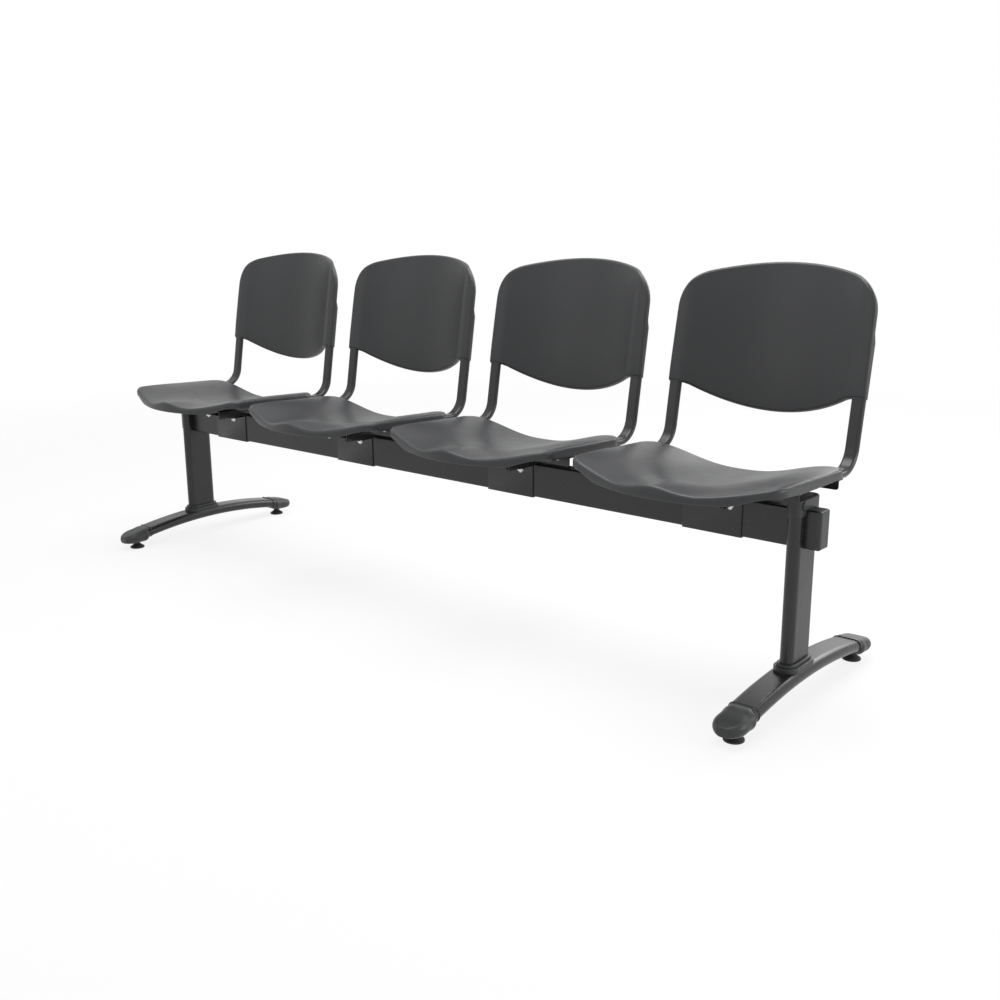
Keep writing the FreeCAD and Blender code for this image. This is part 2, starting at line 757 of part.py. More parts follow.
def shell_screws():
    """Four screws up into the seat and two forwards into the back, all through the side tubes."""
    solids = []
    for side in (-1, 1):
        for y in (seat_screw_front, seat_screw_rear):
            foot = screw_foot(side * tube_x, y)
            shank = Part.makeCylinder(screw_diameter / 2, screw_length, foot)
            head = Part.makeCylinder(screw_head / 2, screw_head_height,
                                     foot - Vector(0, 0, screw_head_height))
            head = head.makeChamfer(screw_head_chamfer, edges_at_height(head, foot.z - screw_head_height))
            solids.append(joined([shank, head]))
        outside = tube_depth / 2 + play + pocket_wall
        place = upright_point(side * tube_x, back_start + back_screw_height, outside)
        shank = Part.makeCylinder(screw_diameter / 2, outside + tube_depth / 2, place, lean_back * -1)
        head = Part.makeCylinder(screw_head / 2, screw_head_height, place, lean_back)
        solids.append(joined([shank, head]))
    return Part.makeCompound(solids)


def bowed_edges(flat_x, depth, blend, level, grow, place):
    """Bow between two flats: a blend, a wide arc and a blend. place(x, d) makes a point."""
    reach = (flat_x ** 2 + depth ** 2) / (2 * depth)
    main = reach - blend
    share = main / reach
    touch_x = flat_x * share
    touch_d = depth - main + (reach - depth) * share

    main_radius = main + grow
    blend_radius = blend - grow
    centre_d = level + depth - main
    joint_x = touch_x * main_radius / main
    joint_d = centre_d + (touch_d - depth + main) * main_radius / main
    middle = place(0, centre_d + main_radius)
    half_turn = math.asin(flat_x / reach) / 2
    side_x = flat_x - blend_radius * math.sin(half_turn)
    side_d = level + blend - blend_radius * math.cos(half_turn)
    end_d = level + grow
    return [
        Part.Arc(place(-flat_x, end_d), place(-side_x, side_d), place(-joint_x, joint_d)).toShape(),
        Part.Arc(place(-joint_x, joint_d), middle, place(joint_x, joint_d)).toShape(),
        Part.Arc(place(joint_x, joint_d), place(side_x, side_d), place(flat_x, end_d)).toShape(),
    ]


def back_depth(x, along):
    """How far the back's front face lies behind its flat side strips."""
    flat_x = back_half_width - back_flat
    reach = (flat_x ** 2 + back_hollow ** 2) / (2 * back_hollow)
    main = reach - back_hollow_blend
    away = abs(x)
    if away >= flat_x:
        depth = 0.0
    elif away <= flat_x * main / reach:
        depth = back_hollow - main + math.sqrt(main ** 2 - x ** 2)
    else:
        depth = back_hollow_blend - math.sqrt(back_hollow_blend ** 2 - (flat_x - away) ** 2)
    above = max(0.0, along - back_top_roll_start) / (back_crown - back_top_roll_start)
    below = max(0.0, back_low_roll_start - along) / (back_low_roll_start + back_lobe)
    return depth + back_top_roll * above ** 2 + back_low_roll * below ** 2


def back_face(offset):
    """The back's front face moved rearwards, a little larger than the back."""
    front = -(tube_depth / 2 + play + back_wall)
    first = -back_lobe - face_margin
    last = back_crown + face_margin
    rows = []
    for column in range(face_columns):
        x = (back_half_width + face_margin) * (2 * column / (face_columns - 1) - 1)
        levels = [first + (last - first) * row / (face_rows - 1) for row in range(face_rows)]
        rows.append([Vector(x, front + back_depth(x, z) + offset, z) for z in levels])
    return smooth_face(rows)


def back_outline(inset):
    """The back seen from the front, drawn in by inset, as a block across its thickness."""
    flat_x = back_half_width - back_flat - back_lobe_step
    half_low = back_half_width - inset
    half_high = back_half_top - inset
    side_high = back_side_height - inset
    reach = back_hollow + back_top_roll + back_rim_depth

    def place(x, d):
        return Vector(x, -reach, -d)

    right_low = place(half_low, -inset)
    left_low = place(-half_low, -inset)
    right_high = place(half_high, -side_high)
    left_high = place(-half_high, -side_high)
    edges = bowed_edges(flat_x, back_lobe, back_lobe_blend, 0, -inset, place) + [
        Part.makeLine(place(flat_x, -inset), right_low),
        Part.makeLine(right_low, right_high),
        Part.Arc(right_high, place(0, inset - back_crown), left_high).toShape(),
        Part.makeLine(left_high, left_low),
        Part.makeLine(left_low, place(-flat_x, -inset)),
    ]
    prism = closed_face(edges).extrude(Vector(0, 2 * reach, 0))
    corners = [edge for edge in prism.Edges
               if edge.BoundBox.YLength > 1 and abs(edge.BoundBox.ZMin - side_high) < 1e-3
               and edge.BoundBox.ZLength < 1e-3]
    return prism.makeFillet(back_corner_round - inset, corners)


def pocket_end(x, start):
    """Tapered end of a pocket, down to a thin oval in the sheet."""
    across = Vector(1, 0, 0)
    behind = Vector(0, 1, 0)
    tip = Vector(x, -(tube_depth / 2 + play), start + pocket_taper)
    wide = oval_wire(Vector(x, 0, start), across, behind, tube_width + 2 * (play + pocket_wall),
                     tube_depth + 2 * (play + pocket_wall))
    thin = oval_wire(tip, across, behind, pocket_tip_width, pocket_tip_depth)
    return Part.makeLoft([wide, thin], True, True)


def back_shell():
    """Moulded back: hollow sheet, turned rim and a pocket for each upright."""
    outline = back_outline(0)
    rearwards = Vector(0, 2 * outline.BoundBox.YLength, 0)
    behind = outline.cut(back_face(0).extrude(-rearwards))
    sheet = behind.cut(back_face(back_wall).extrude(rearwards))
    rim = behind.cut(back_outline(back_rim_wall)).cut(back_face(back_rim_depth).extrude(rearwards))
    parts = [sheet, rim]
    pocket_top = upright_length - back_start + play + pocket_wall
    for side in (-1, 1):
        face = oval_face(Vector(side * tube_x, 0, 0), Vector(1, 0, 0), Vector(0, 1, 0),
                         tube_width + 2 * (play + pocket_wall), tube_depth + 2 * (play + pocket_wall))
        parts.append(face.extrude(Vector(0, 0, pocket_top)))
        parts.append(pocket_end(side * tube_x, pocket_top))
    shell = joined(parts)
    shell.rotate(Vector(0, 0, 0), Vector(1, 0, 0), -back_lean)
    shell.translate(upright_point(0, back_start))
    for side in (-1, 1):
        shell = shell.cut(side_tube_bar(side * tube_x, play, play))
        hole = Part.makeCylinder(screw_diameter / 2 + fit, 3 * tube_depth,
                                 upright_point(side * tube_x, back_start + back_screw_height, 0),
                                 lean_back)
        shell = shell.cut(hole)
    return shell


def column_bolts():
    """Two button-head bolts from behind each column into the beam."""
    solids = []
    for side in (-1, 1):
        for z in column_bolt_heights():
            back = Vector(side * leg_x, beam_y + column_length / 2, z)
            inside = column_length / 2 - beam_depth / 2 + column_bolt_reach
            shank = Part.makeCylinder(bolt_diameter / 2, inside, back, Vector(0, -1, 0))
            head = Part.makeCylinder(column_bolt_head / 2, column_bolt_head_height, back, Vector(0, 1, 0))
            rim = [edge for edge in head.Edges
                   if abs(edge.BoundBox.YMin - back.y - column_bolt_head_height) < 1e-4]
            solids.append(joined([shank, head.makeFillet(column_bolt_round, rim)]))
    return Part.makeCompound(solids)


def leveller_stud(x, y):
    """Threaded stud that screws up into the foot's end cap."""
    stud = Part.makeCylinder(stud_diameter / 2, stud_length, Vector(x, y, socket_floor + play))
    return stud.makeChamfer(stud_chamfer, edges_at_height(stud, socket_floor + play + stud_length))


def leveller_pad(x, y):
    """Round plastic foot with a coned neck that turns on the stud."""
    outer = pad_diameter / 2
    neck = pad_neck_diameter / 2
    profile = polygon_face([Vector(0, 0, 0), Vector(outer - pad_edge, 0, 0),
                            Vector(outer, 0, pad_edge),
                            Vector(outer, 0, pad_rim), Vector(neck, 0, pad_height - pad_edge),
                            Vector(neck, 0, pad_height), Vector(0, 0, pad_height)])
    pad = profile.revolve(Vector(0, 0, 0), Vector(0, 0, 1), 360)
    pad = pad.cut(Part.makeCylinder(stud_diameter / 2 + fit, pad_height, Vector(0, 0, socket_floor)))
    pad.translate(Vector(x, y, 0))
    return pad


save(beam_tube(), "beam")
save(column_bolts(), "column_bolts")
for side, label in ((-1, "right"), (1, "left")):
    save(beam_end_cap(side), "beam_end_cap_" + label)
    x = side * leg_x
    save(leg_column(x), "column_" + label)
    save(column_top_cap(x, side), "column_top_cap_" + label)
    save(collar(x), "column_collar_" + label)
    save(foot_tube(x), "foot_" + label)
    for end, where in ((-1, "front"), (1, "rear")):
        save(foot_end_cap(x, end), "foot_cap_" + where + "_" + label)
        save(leveller_stud(x, end * leveller_y), "leveller_stud_" + where + "_" + label)
        save(leveller_pad(x, end * leveller_y), "leveller_pad_" + where + "_" + label)

seat_pieces = [
    ("seat_shell", seat_shell()),
    ("back_shell", back_shell()),
    ("side_tube_right", side_tube(-1)),
    ("side_tube_left", side_tube(1)),
    ("cross_rails", Part.makeCompound([cross_rail(front_rail_y), cross_rail(rear_rail_y)])),
    ("bracket_arms", Part.makeCompound([bracket_arm(-1), bracket_arm(1)])),
    ("beam_clamp", beam_clamp()),
    ("clamp_bolts", clamp_bolts()),
    ("shell_screws", shell_screws()),
]
for number in range(1, seat_count + 1):
    seat_x = (number - (seat_count + 1) / 2) * seat_pitch
    for name, shape in seat_pieces:
        placed = shape.copy()
        placed.translate(Vector(seat_x, 0, 0))
        save(placed, "%s_%d" % (name, number))
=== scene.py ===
"""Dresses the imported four-seat beam bench: moulded shells, fasteners, finishes and a pale stage."""

import math

import bmesh
import bpy
from mathutils import Matrix, Vector


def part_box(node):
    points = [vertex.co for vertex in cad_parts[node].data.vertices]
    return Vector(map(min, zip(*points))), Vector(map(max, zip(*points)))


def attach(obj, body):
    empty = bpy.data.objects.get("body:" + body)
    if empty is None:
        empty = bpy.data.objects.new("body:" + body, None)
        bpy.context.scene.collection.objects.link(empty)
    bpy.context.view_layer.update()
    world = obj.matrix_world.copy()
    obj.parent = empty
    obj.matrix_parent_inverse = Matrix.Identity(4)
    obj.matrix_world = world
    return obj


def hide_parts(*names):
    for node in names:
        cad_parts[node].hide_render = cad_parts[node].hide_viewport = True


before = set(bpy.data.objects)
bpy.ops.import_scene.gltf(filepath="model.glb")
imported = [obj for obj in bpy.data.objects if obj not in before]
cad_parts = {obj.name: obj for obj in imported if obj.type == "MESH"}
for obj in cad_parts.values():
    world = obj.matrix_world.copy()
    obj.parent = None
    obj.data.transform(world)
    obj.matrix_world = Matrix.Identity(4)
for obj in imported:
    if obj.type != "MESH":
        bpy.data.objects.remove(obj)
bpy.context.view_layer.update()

bl_info = {
    "name": "Four-seat beam bench",
    "version": (1, 0, 0),
    "blender": (4, 5, 0),
    "location": "View3D > Sidebar > Beam bench",
    "description": "Moulded shells, fasteners, finishes and a pale stage for a four-seat beam bench",
    "category": "Object",
}

# Everything is in metres. +X is the sitter's left, the seats face -Y, +Z is up.
SEAT_NUMBERS = (1, 2, 3, 4)
SIDES = ("right", "left")
ENDS = ("front", "rear")

BEAM_LOW, BEAM_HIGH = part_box("beam")
BEAM_Y = (BEAM_LOW.y + BEAM_HIGH.y) / 2

# Side tube of a seat, from the beam's middle plane
TUBE_X = 0.220
TUBE_WIDTH = 0.030
TUBE_DEPTH = 0.015
TUBE_WALL = 0.0015
TUBE_FRONT = -0.142
BEND_Y = 0.1276
BEND_Z = 0.461
BEND_RADIUS = 0.055
SEAT_TILT = math.radians(1.0)
BACK_LEAN = math.radians(9.5)
UPRIGHT_LENGTH = 0.215
PLAY = 0.0003

RUN_UP = Vector((0, math.sin(SEAT_TILT), math.cos(SEAT_TILT)))
RUN_BACK = Vector((0, math.cos(SEAT_TILT), -math.sin(SEAT_TILT)))
LEAN_UP = Vector((0, math.sin(BACK_LEAN), math.cos(BACK_LEAN)))
LEAN_BACK = Vector((0, math.cos(BACK_LEAN), -math.sin(BACK_LEAN)))
BEND_START = Vector((0, BEAM_Y + BEND_Y, BEND_Z))
BEND_END = BEND_START + (RUN_UP + LEAN_BACK) * BEND_RADIUS

# Seat plan
SEAT_HALF = 0.244
SEAT_FRONT = -0.242
FRONT_RADIUS = 0.360
FLANK = math.radians(18.0)
SEAT_REAR = 0.135
REAR_RADIUS = 1.300
REAR_ROUND = 0.038
FRONT_ROUND = 0.045

# Sitting surface
RIM_Z = 0.4775
RIM_SLOPE = 0.032
BOWL_Z_REAR = 0.441
BOWL_Z_FRONT = 0.467
BOWL_RUN = 1.6
BOWL_REACH = 0.92
BOWL_SIDE = 2.6
THIGH_REACH = 0.175
THIGH_Z = 0.459
THIGH_X = 0.085
POMMEL_RISE = 0.0115
POMMEL_WIDTH = 0.048
CORNER_RISE = 0.027
CORNER_X = 0.232
CORNER_BOW = 1.5
EDGE_BAND = 0.010
SKIRT_Z = 0.4605
SKIRT_BUMP = 0.006
SKIRT_BUMP_Y = -0.178
SKIRT_BUMP_WIDTH = 0.070
SKIRT_DEEP = 0.020
SKIRT_DEEP_X = 0.140
SKIRT_DEEP_RUN = 0.095
SKIRT_DEEP_Y = -0.185
SKIRT_DEEP_FADE = 0.080

# Back shell, along the leaning uprights
BACK_HALF = 0.2375
BACK_HALF_TOP = 0.2325
BACK_START = 0.1004
BACK_SIDE = 0.235
BACK_CROWN = 0.2855
BACK_ROUND = 0.0915
BACK_LOW_ROUND = 0.004
BACK_LOBE = 0.045
LOBE_BLEND = 0.083
LOBE_STEP = 0.002
BACK_HOLLOW = 0.060
HOLLOW_BLEND = 0.054
BACK_FLAT = 0.019
TOP_ROLL = 0.0082
TOP_ROLL_START = 0.121
LOW_ROLL = 0.0045
LOW_ROLL_START = 0.060
BACK_RIM = 0.013
POCKET_WALL = 0.0018
POCKET_TAPER = 0.045
POCKET_TIP_WIDTH = 0.026
POCKET_TIP_DEPTH = 0.004

# Inner corner of a shell's turned edge, and where the rings down its skirt lie
INNER_ROUND = 0.0025
SKIRT_SHARES = (0.33, 0.67)

# Tube plugs. The dome's rows hold how far it stands out and how much narrower it is there.
PLUG_DEPTH = 0.014
PLUG_PLAY = 0.0008
PLUG_DOME = ((0.0012, 0.0), (0.0026, 0.0016), (0.0034, 0.0044), (0.0038, 0.0090))

# Clamp bolts
CLAMP_BOLT_X = 0.062
CLAMP_BOLT_Y = 0.056
BOLT_HEAD_HEIGHT = 0.0053
BOLT_SHANK = 0.004
BOLT_TAIL = 0.003
NUT_HEIGHT = 0.0065
WASHER_HEIGHT = 0.0012
BOLT_EDGE = 0.0004

# Shell screws and column bolts
SEAT_SCREW_Y = (-0.105, 0.062)
BACK_SCREW_HEIGHT = 0.040
SCREW_HEAD = 0.005
SCREW_HEAD_HEIGHT = 0.003
SCREW_SHANK = 0.0025
SEAT_SCREW_LENGTH = 0.020
BACK_SCREW_LENGTH = 0.015
BUTTON_HEAD = 0.007
BUTTON_HEIGHT = 0.0045
BUTTON_SHANK = 0.004
BUTTON_LENGTH = 0.028
SCREW_EDGE = 0.0004

# Heads from their rim inwards: shares of the head's radius and height, and the corner's round
PAN_SHAPE = ((1, 0.55, 0.0008), (0.72, 1, 0.0006), (0.38, 1, 0.0002), (0.30, 0.45, 0.0001), (0, 0.40, 0))
BUTTON_SHAPE = ((1, 0.25, 0.0006), (0.66, 0.86, 0.0012), (0.40, 1, 0.0003), (0.36, 0.40, 0.0001),
                (0, 0.36, 0))

# Seat bosses
BOSS_BORE = 0.0028
BOSS_END = 0.0085
BOSS_WAIST = 0.0088
BOSS_WAIST_SHARE = 0.6
BOSS_ROOT = 0.0105
BOSS_EDGE = 0.0006
BOSS_COVER = 0.002

# Levellers
THREAD_PITCH = 0.0015
THREAD_RIDGE = 0.0006
PAD_PLAY = 0.0002
PAD_FLOOR = 0.0035
PAD_NECK = 0.0086
PAD_NECK_FOOT = 0.0090
PAD_NECK_LENGTH = 0.0025
PAD_SHOULDER = 0.0135
PAD_SHOULDER_HEIGHT = 0.0092
PAD_SHOULDER_ROUND = 0.0030
PAD_RIM_SLOPE = 0.0012
PAD_RIM_HEIGHT = 0.0048
PAD_RIM_SIDE = 0.0040
PAD_CHAMFER = 0.0010
PAD_RECESS_EDGE = 0.0160
PAD_RECESS = 0.0152
PAD_RECESS_HEIGHT = 0.0008
PAD_EDGE = 0.0006
PAD_CREASE = 0.0004
PAD_LOW_EDGE = 0.0003

# Meshes
SHARP_EDGE = math.radians(32)
FLAT_ANGLE = math.radians(0.6)
MERGE_DISTANCE = 1e-6
AXIS_GAP = 0.0001
BEVEL_SEGMENTS = 2
OUTLINE_POINTS = 240
SHELL_RINGS = 26
OVAL_POINTS = 40
LATHE_POINTS = 48
CORNER_STEPS = 12
CROWN_STEPS = 16
EDGE_STEPS = 24
LOBE_STEPS = 60
ROUND_STEPS = 6
INNER_STEPS = 4
PROFILE_STEPS = 4
POCKET_STEPS = 8
HEAD_SIDES = 6
SHANK_SIDES = 24
ROUND_SIDES = 32

# Finishes: pattern spacings, bump depths and strengths, shares of the grain size, a noise's range
FLOW_MARKS = 0.12
RUBBED_PATCHES = 0.035
ORANGE_PEEL = 0.0016
COAT_SPECKS = 0.0005
DULL_PATCHES = 0.09
ZINC_CLOUDS = 0.004
ZINC_MARKS = 0.0006
GRAIN_DEPTH = 0.00010
FINE_DEPTH = 0.00005
PEEL_DEPTH = 0.00008
SPECK_DEPTH = 0.00002
MOULD_STRENGTH = 0.15
SPECK_STRENGTH = 0.1
MARK_STRENGTH = 0.3
FINE_GRAIN = 0.6
TRIM_GRAIN = 0.8
PAD_GRAIN = 0.6
NOISE_LOW = 0.3
NOISE_HIGH = 0.7

# Stage. Each lamp has its place, target, size and power.
LAMPS = {
    "top light": ((0.1, 0.2, 3.0), (0.1, 0.0, 0.4), 2.4, 80),
    "rear light": ((0.6, 3.2, 2.2), (0.1, 0.0, 0.45), 2.2, 60),
    "left light": ((3.6, 0.9, 1.3), (0.6, 0.0, 0.4), 1.5, 32),
    "front light": ((-1.8, -4.2, 2.2), (0.0, 0.0, 0.5), 2.6, 12)}
FLOOR_HALF = 30.0
GLOW_NEAR = 1.6
GLOW_FAR = 4.5
GLOW_LEAST = 0.84
SURROUND_LIGHT = 0.4
WHITE = (1, 1, 1, 1)
CAMERA_PLACE = (1.9725, -2.0481, 0.9615)
CAMERA_YAW = math.radians(40.671)
CAMERA_PITCH = math.radians(90 - 13.89)
CAMERA_ROLL = math.radians(-0.289)
CAMERA_LENS = 40.2
CAMERA_SENSOR = 36.0


class BenchSizes(bpy.types.PropertyGroup):
    """Sizes of the bench's dressed details."""

    seat_edge: bpy.props.FloatProperty(
        name="Seat edge round", description="Radius of the seat's upper edge",
        default=0.008, min=0.003, max=0.0082, unit="LENGTH")
    back_edge: bpy.props.FloatProperty(
        name="Back edge round", description="Radius of the back's front edge",
        default=0.007, min=0.002, max=0.009, unit="LENGTH")
    shell_wall: bpy.props.FloatProperty(
        name="Shell wall", description="Thickness of the moulded shells' turned edges",
        default=0.0035, min=0.002, max=0.004, unit="LENGTH")
    shell_plate: bpy.props.FloatProperty(
        name="Shell plate", description="Thickness of the moulded shells' middle",
        default=0.004, min=0.003, max=0.005, unit="LENGTH")
    steel_edge: bpy.props.FloatProperty(
        name="Pressed edge", description="Bevel on the edges of the pressed steel pieces",
        default=0.0006, min=0.0001, max=0.001, unit="LENGTH")
    bolt_head: bpy.props.FloatProperty(
        name="Bolt head across flats", description="Width of the clamp bolts' heads and nuts",
        default=0.013, min=0.010, max=0.015, unit="LENGTH")
    washer: bpy.props.FloatProperty(
        name="Washer diameter", description="Washers under the clamp bolts",
        default=0.0165, min=0.013, max=0.020, unit="LENGTH")
    grain: bpy.props.FloatProperty(
        name="Grain size", description="Spacing of the shells' moulded grain",
        default=0.0009, min=0.0003, max=0.003, unit="LENGTH")


class BenchColours(bpy.types.PropertyGroup):
    """Colours of the bench's finishes."""

    shell: bpy.props.FloatVectorProperty(
        name="Shells", description="Moulded plastic of the seats and backs",
        default=(0.034, 0.035, 0.037), min=0, max=1, size=3, subtype="COLOR")
    trim: bpy.props.FloatVectorProperty(
        name="Trim", description="Moulded caps and collars",
        default=(0.032, 0.033, 0.034), min=0, max=1, size=3, subtype="COLOR")
    pad: bpy.props.FloatVectorProperty(
        name="Levelling pads", description="Plastic of the levelling pads",
        default=(0.030, 0.030, 0.031), min=0, max=1, size=3, subtype="COLOR")
    steel: bpy.props.FloatVectorProperty(
        name="Coated steel", description="Powder coat of the beam, legs and frames",
        default=(0.016, 0.0165, 0.0175), min=0, max=1, size=3, subtype="COLOR")
    zinc: bpy.props.FloatVectorProperty(
        name="Zinc", description="Plated bolts, screws and studs",
        default=(0.62, 0.62, 0.60), min=0, max=1, size=3, subtype="COLOR")
    floor: bpy.props.FloatVectorProperty(
        name="Floor", description="Colour of the plain floor",
        default=(0.90, 0.90, 0.90), min=0, max=1, size=3, subtype="COLOR")


def sizes():
    return bpy.context.scene.bench_sizes


def colours():
    return bpy.context.scene.bench_colours


def put_in(piece):
    """Put an object into the scene."""
    bpy.context.scene.collection.objects.link(piece)


# Shapes of the shells
def smooth_share(share):
    share = min(1.0, max(0.0, share))
    return share * share * (3 - 2 * share)


def front_edge(x):
    """Front edge of the seat's plan: a round middle and slanted flanks."""
    centre_y = SEAT_FRONT + FRONT_RADIUS
    turn_x = FRONT_RADIUS * math.sin(FLANK)
    if abs(x) <= turn_x:
        return centre_y - math.sqrt(FRONT_RADIUS ** 2 - x ** 2)
    return centre_y - FRONT_RADIUS * math.cos(FLANK) + (abs(x) - turn_x) * math.tan(FLANK)


def front_line(x):
    """Height of the front edge: a hump, two thigh troughs and two high corners."""
    hump = POMMEL_RISE * math.exp(-(x / POMMEL_WIDTH) ** 2)
    share = min(1.0, max(0.0, (abs(x) - THIGH_X) / (CORNER_X - THIGH_X)))
    return THIGH_Z + hump + CORNER_RISE * share ** CORNER_BOW


def seat_top(x, y):
    """Height of the sitting surface."""
    rim = RIM_Z + (SEAT_REAR - y) * RIM_SLOPE
    along = max(0.0, (SEAT_REAR - y) / (SEAT_REAR - SEAT_FRONT))
    middle = BOWL_Z_REAR + (BOWL_Z_FRONT - BOWL_Z_REAR) * along ** BOWL_RUN
    share = min(1.0, abs(x) / SEAT_HALF / BOWL_REACH)
    bowl = middle + (rim - middle) * math.sin(math.pi / 2 * share) ** BOWL_SIDE
    weight = smooth_share((y - front_edge(x)) / THIGH_REACH)
    return bowl * weight + front_line(x) * (1 - weight)


def skirt_line(x, y):
    """Height of the lower edge of the seat's skirts."""
    bump = SKIRT_BUMP * math.exp(-((y - SKIRT_BUMP_Y) / SKIRT_BUMP_WIDTH) ** 2)
    inwards = 1 - smooth_share((abs(x) - SKIRT_DEEP_X) / SKIRT_DEEP_RUN)
    forwards = 1 - smooth_share((y - SKIRT_DEEP_Y) / SKIRT_DEEP_FADE)
    return SKIRT_Z + bump - SKIRT_DEEP * inwards * forwards


def bow(x, flat_x, depth, blend):
    """A bow of some depth between two flats, with a blend at each end."""
    main = (flat_x ** 2 + depth ** 2) / (2 * depth) - blend
    away = abs(x)
    if away >= flat_x:
        return 0.0
    if away <= flat_x * main / (main + blend):
        return depth - main + math.sqrt(main ** 2 - x ** 2)
    return blend - math.sqrt(blend ** 2 - (flat_x - away) ** 2)


def back_depth(x, along):
    """How far the back's front face lies behind its flat side strips."""
    depth = bow(x, BACK_HALF - BACK_FLAT, BACK_HOLLOW, HOLLOW_BLEND)
    above = max(0.0, along - TOP_ROLL_START) / (BACK_CROWN - TOP_ROLL_START)
    below = max(0.0, LOW_ROLL_START - along) / (LOW_ROLL_START + BACK_LOBE)
    return depth + TOP_ROLL * above ** 2 + LOW_ROLL * below ** 2


def arc(centre, radius, start, end, steps):
    """Points of a plane arc, from one angle to another."""
    angles = [start + (end - start) * step / steps for step in range(steps + 1)]
    return [centre + Vector((math.cos(angle), math.sin(angle))) * radius for angle in angles]


def corner_round(before, corner, after, radius):
    """Round between two straight sides."""
    first = (before - corner).normalized()
    second = (after - corner).normalized()
    half_angle = first.angle(second) / 2
    centre = corner + (first + second).normalized() * (radius / math.sin(half_angle))
    touch = radius / math.tan(half_angle)
    start = corner + first * touch - centre
    end = corner + second * touch - centre
    begin = math.atan2(start.y, start.x)
    turn = (math.atan2(end.y, end.x) - begin) % (2 * math.pi)
    return arc(centre, radius, begin, begin + turn, CORNER_STEPS)


def crown_round(low, high, crown_y, crown_radius, radius):
    """Round between a straight side, going up, and a wide arc centred on the middle line."""
    along = (high - low).normalized()
    inward = Vector((-along.y, along.x))
    base = low + inward * radius - Vector((0, crown_y - crown_radius))
    across = base.dot(along)
    reach = -across + math.sqrt(across ** 2 - base.length_squared + (crown_radius - radius) ** 2)
    centre = low + inward * radius + along * reach
    begin = math.atan2(-inward.y, -inward.x)
    from_middle = centre - Vector((0, crown_y - crown_radius))
    return arc(centre, radius, begin, math.atan2(from_middle.y, from_middle.x), CROWN_STEPS)


def wide_arc(last_x, crown_y, radius):
    """Points of a wide arc centred on the middle line, from the crown's round to the middle."""
    points = []
    for step in range(1, EDGE_STEPS + 1):
        x = last_x * (1 - step / EDGE_STEPS)
        points.append(Vector((x, crown_y - radius + math.sqrt(radius ** 2 - x ** 2))))
    return points


def whole_outline(right_half):
    """A closed outline from its right half, in even steps."""
    left_half = [Vector((-point.x, point.y)) for point in reversed(right_half[1:-1])]
    corners = right_half + left_half
    corners.append(corners[0])
    spans = [(after - before).length for before, after in zip(corners, corners[1:])]
    step = sum(spans) / OUTLINE_POINTS
    points, index, passed = [], 0, 0.0
    for number in range(OUTLINE_POINTS):
        while passed + spans[index] < number * step:
            passed += spans[index]
            index += 1
        share = (number * step - passed) / spans[index]
        points.append(corners[index].lerp(corners[index + 1], share))
    return points


def seat_outline():
    turn_x = FRONT_RADIUS * math.sin(FLANK)
    front = [turn_x * step / EDGE_STEPS for step in range(EDGE_STEPS + 1)]
    half = [Vector((x, front_edge(x))) for x in front]
    corner = Vector((SEAT_HALF, front_edge(SEAT_HALF)))
    rear_corner = Vector((SEAT_HALF, SEAT_REAR))
    half += corner_round(half[-1], corner, rear_corner, FRONT_ROUND)
    half += crown_round(corner, rear_corner, SEAT_REAR, REAR_RADIUS, REAR_ROUND)
    half += wide_arc(half[-1].x, SEAT_REAR, REAR_RADIUS)
    return whole_outline(half)


def back_outline():
    flat_x = BACK_HALF - BACK_FLAT - LOBE_STEP
    half = []
    for step in range(LOBE_STEPS + 1):
        x = flat_x * step / LOBE_STEPS
        half.append(Vector((x, -bow(x, flat_x, BACK_LOBE, LOBE_BLEND))))
    low = Vector((BACK_HALF, 0))
    high = Vector((BACK_HALF_TOP, BACK_SIDE))
    rise = BACK_CROWN - BACK_SIDE
    crown_radius = (BACK_HALF_TOP ** 2 + rise ** 2) / (2 * rise)
    half += corner_round(half[-1], low, high, BACK_LOW_ROUND)
    half += crown_round(low, high, BACK_CROWN, crown_radius, BACK_ROUND)
    half += wide_arc(half[-1].x, BACK_CROWN, crown_radius)
    return whole_outline(half)


def drawn_in(outline, distance):
    """The outline moved inwards, each point square to it."""
    moved = []
    for index, point in enumerate(outline):
        along = (outline[(index + 1) % len(outline)] - outline[index - 1]).normalized()
        moved.append(point + Vector((-along.y, along.x)) * distance)
    return moved


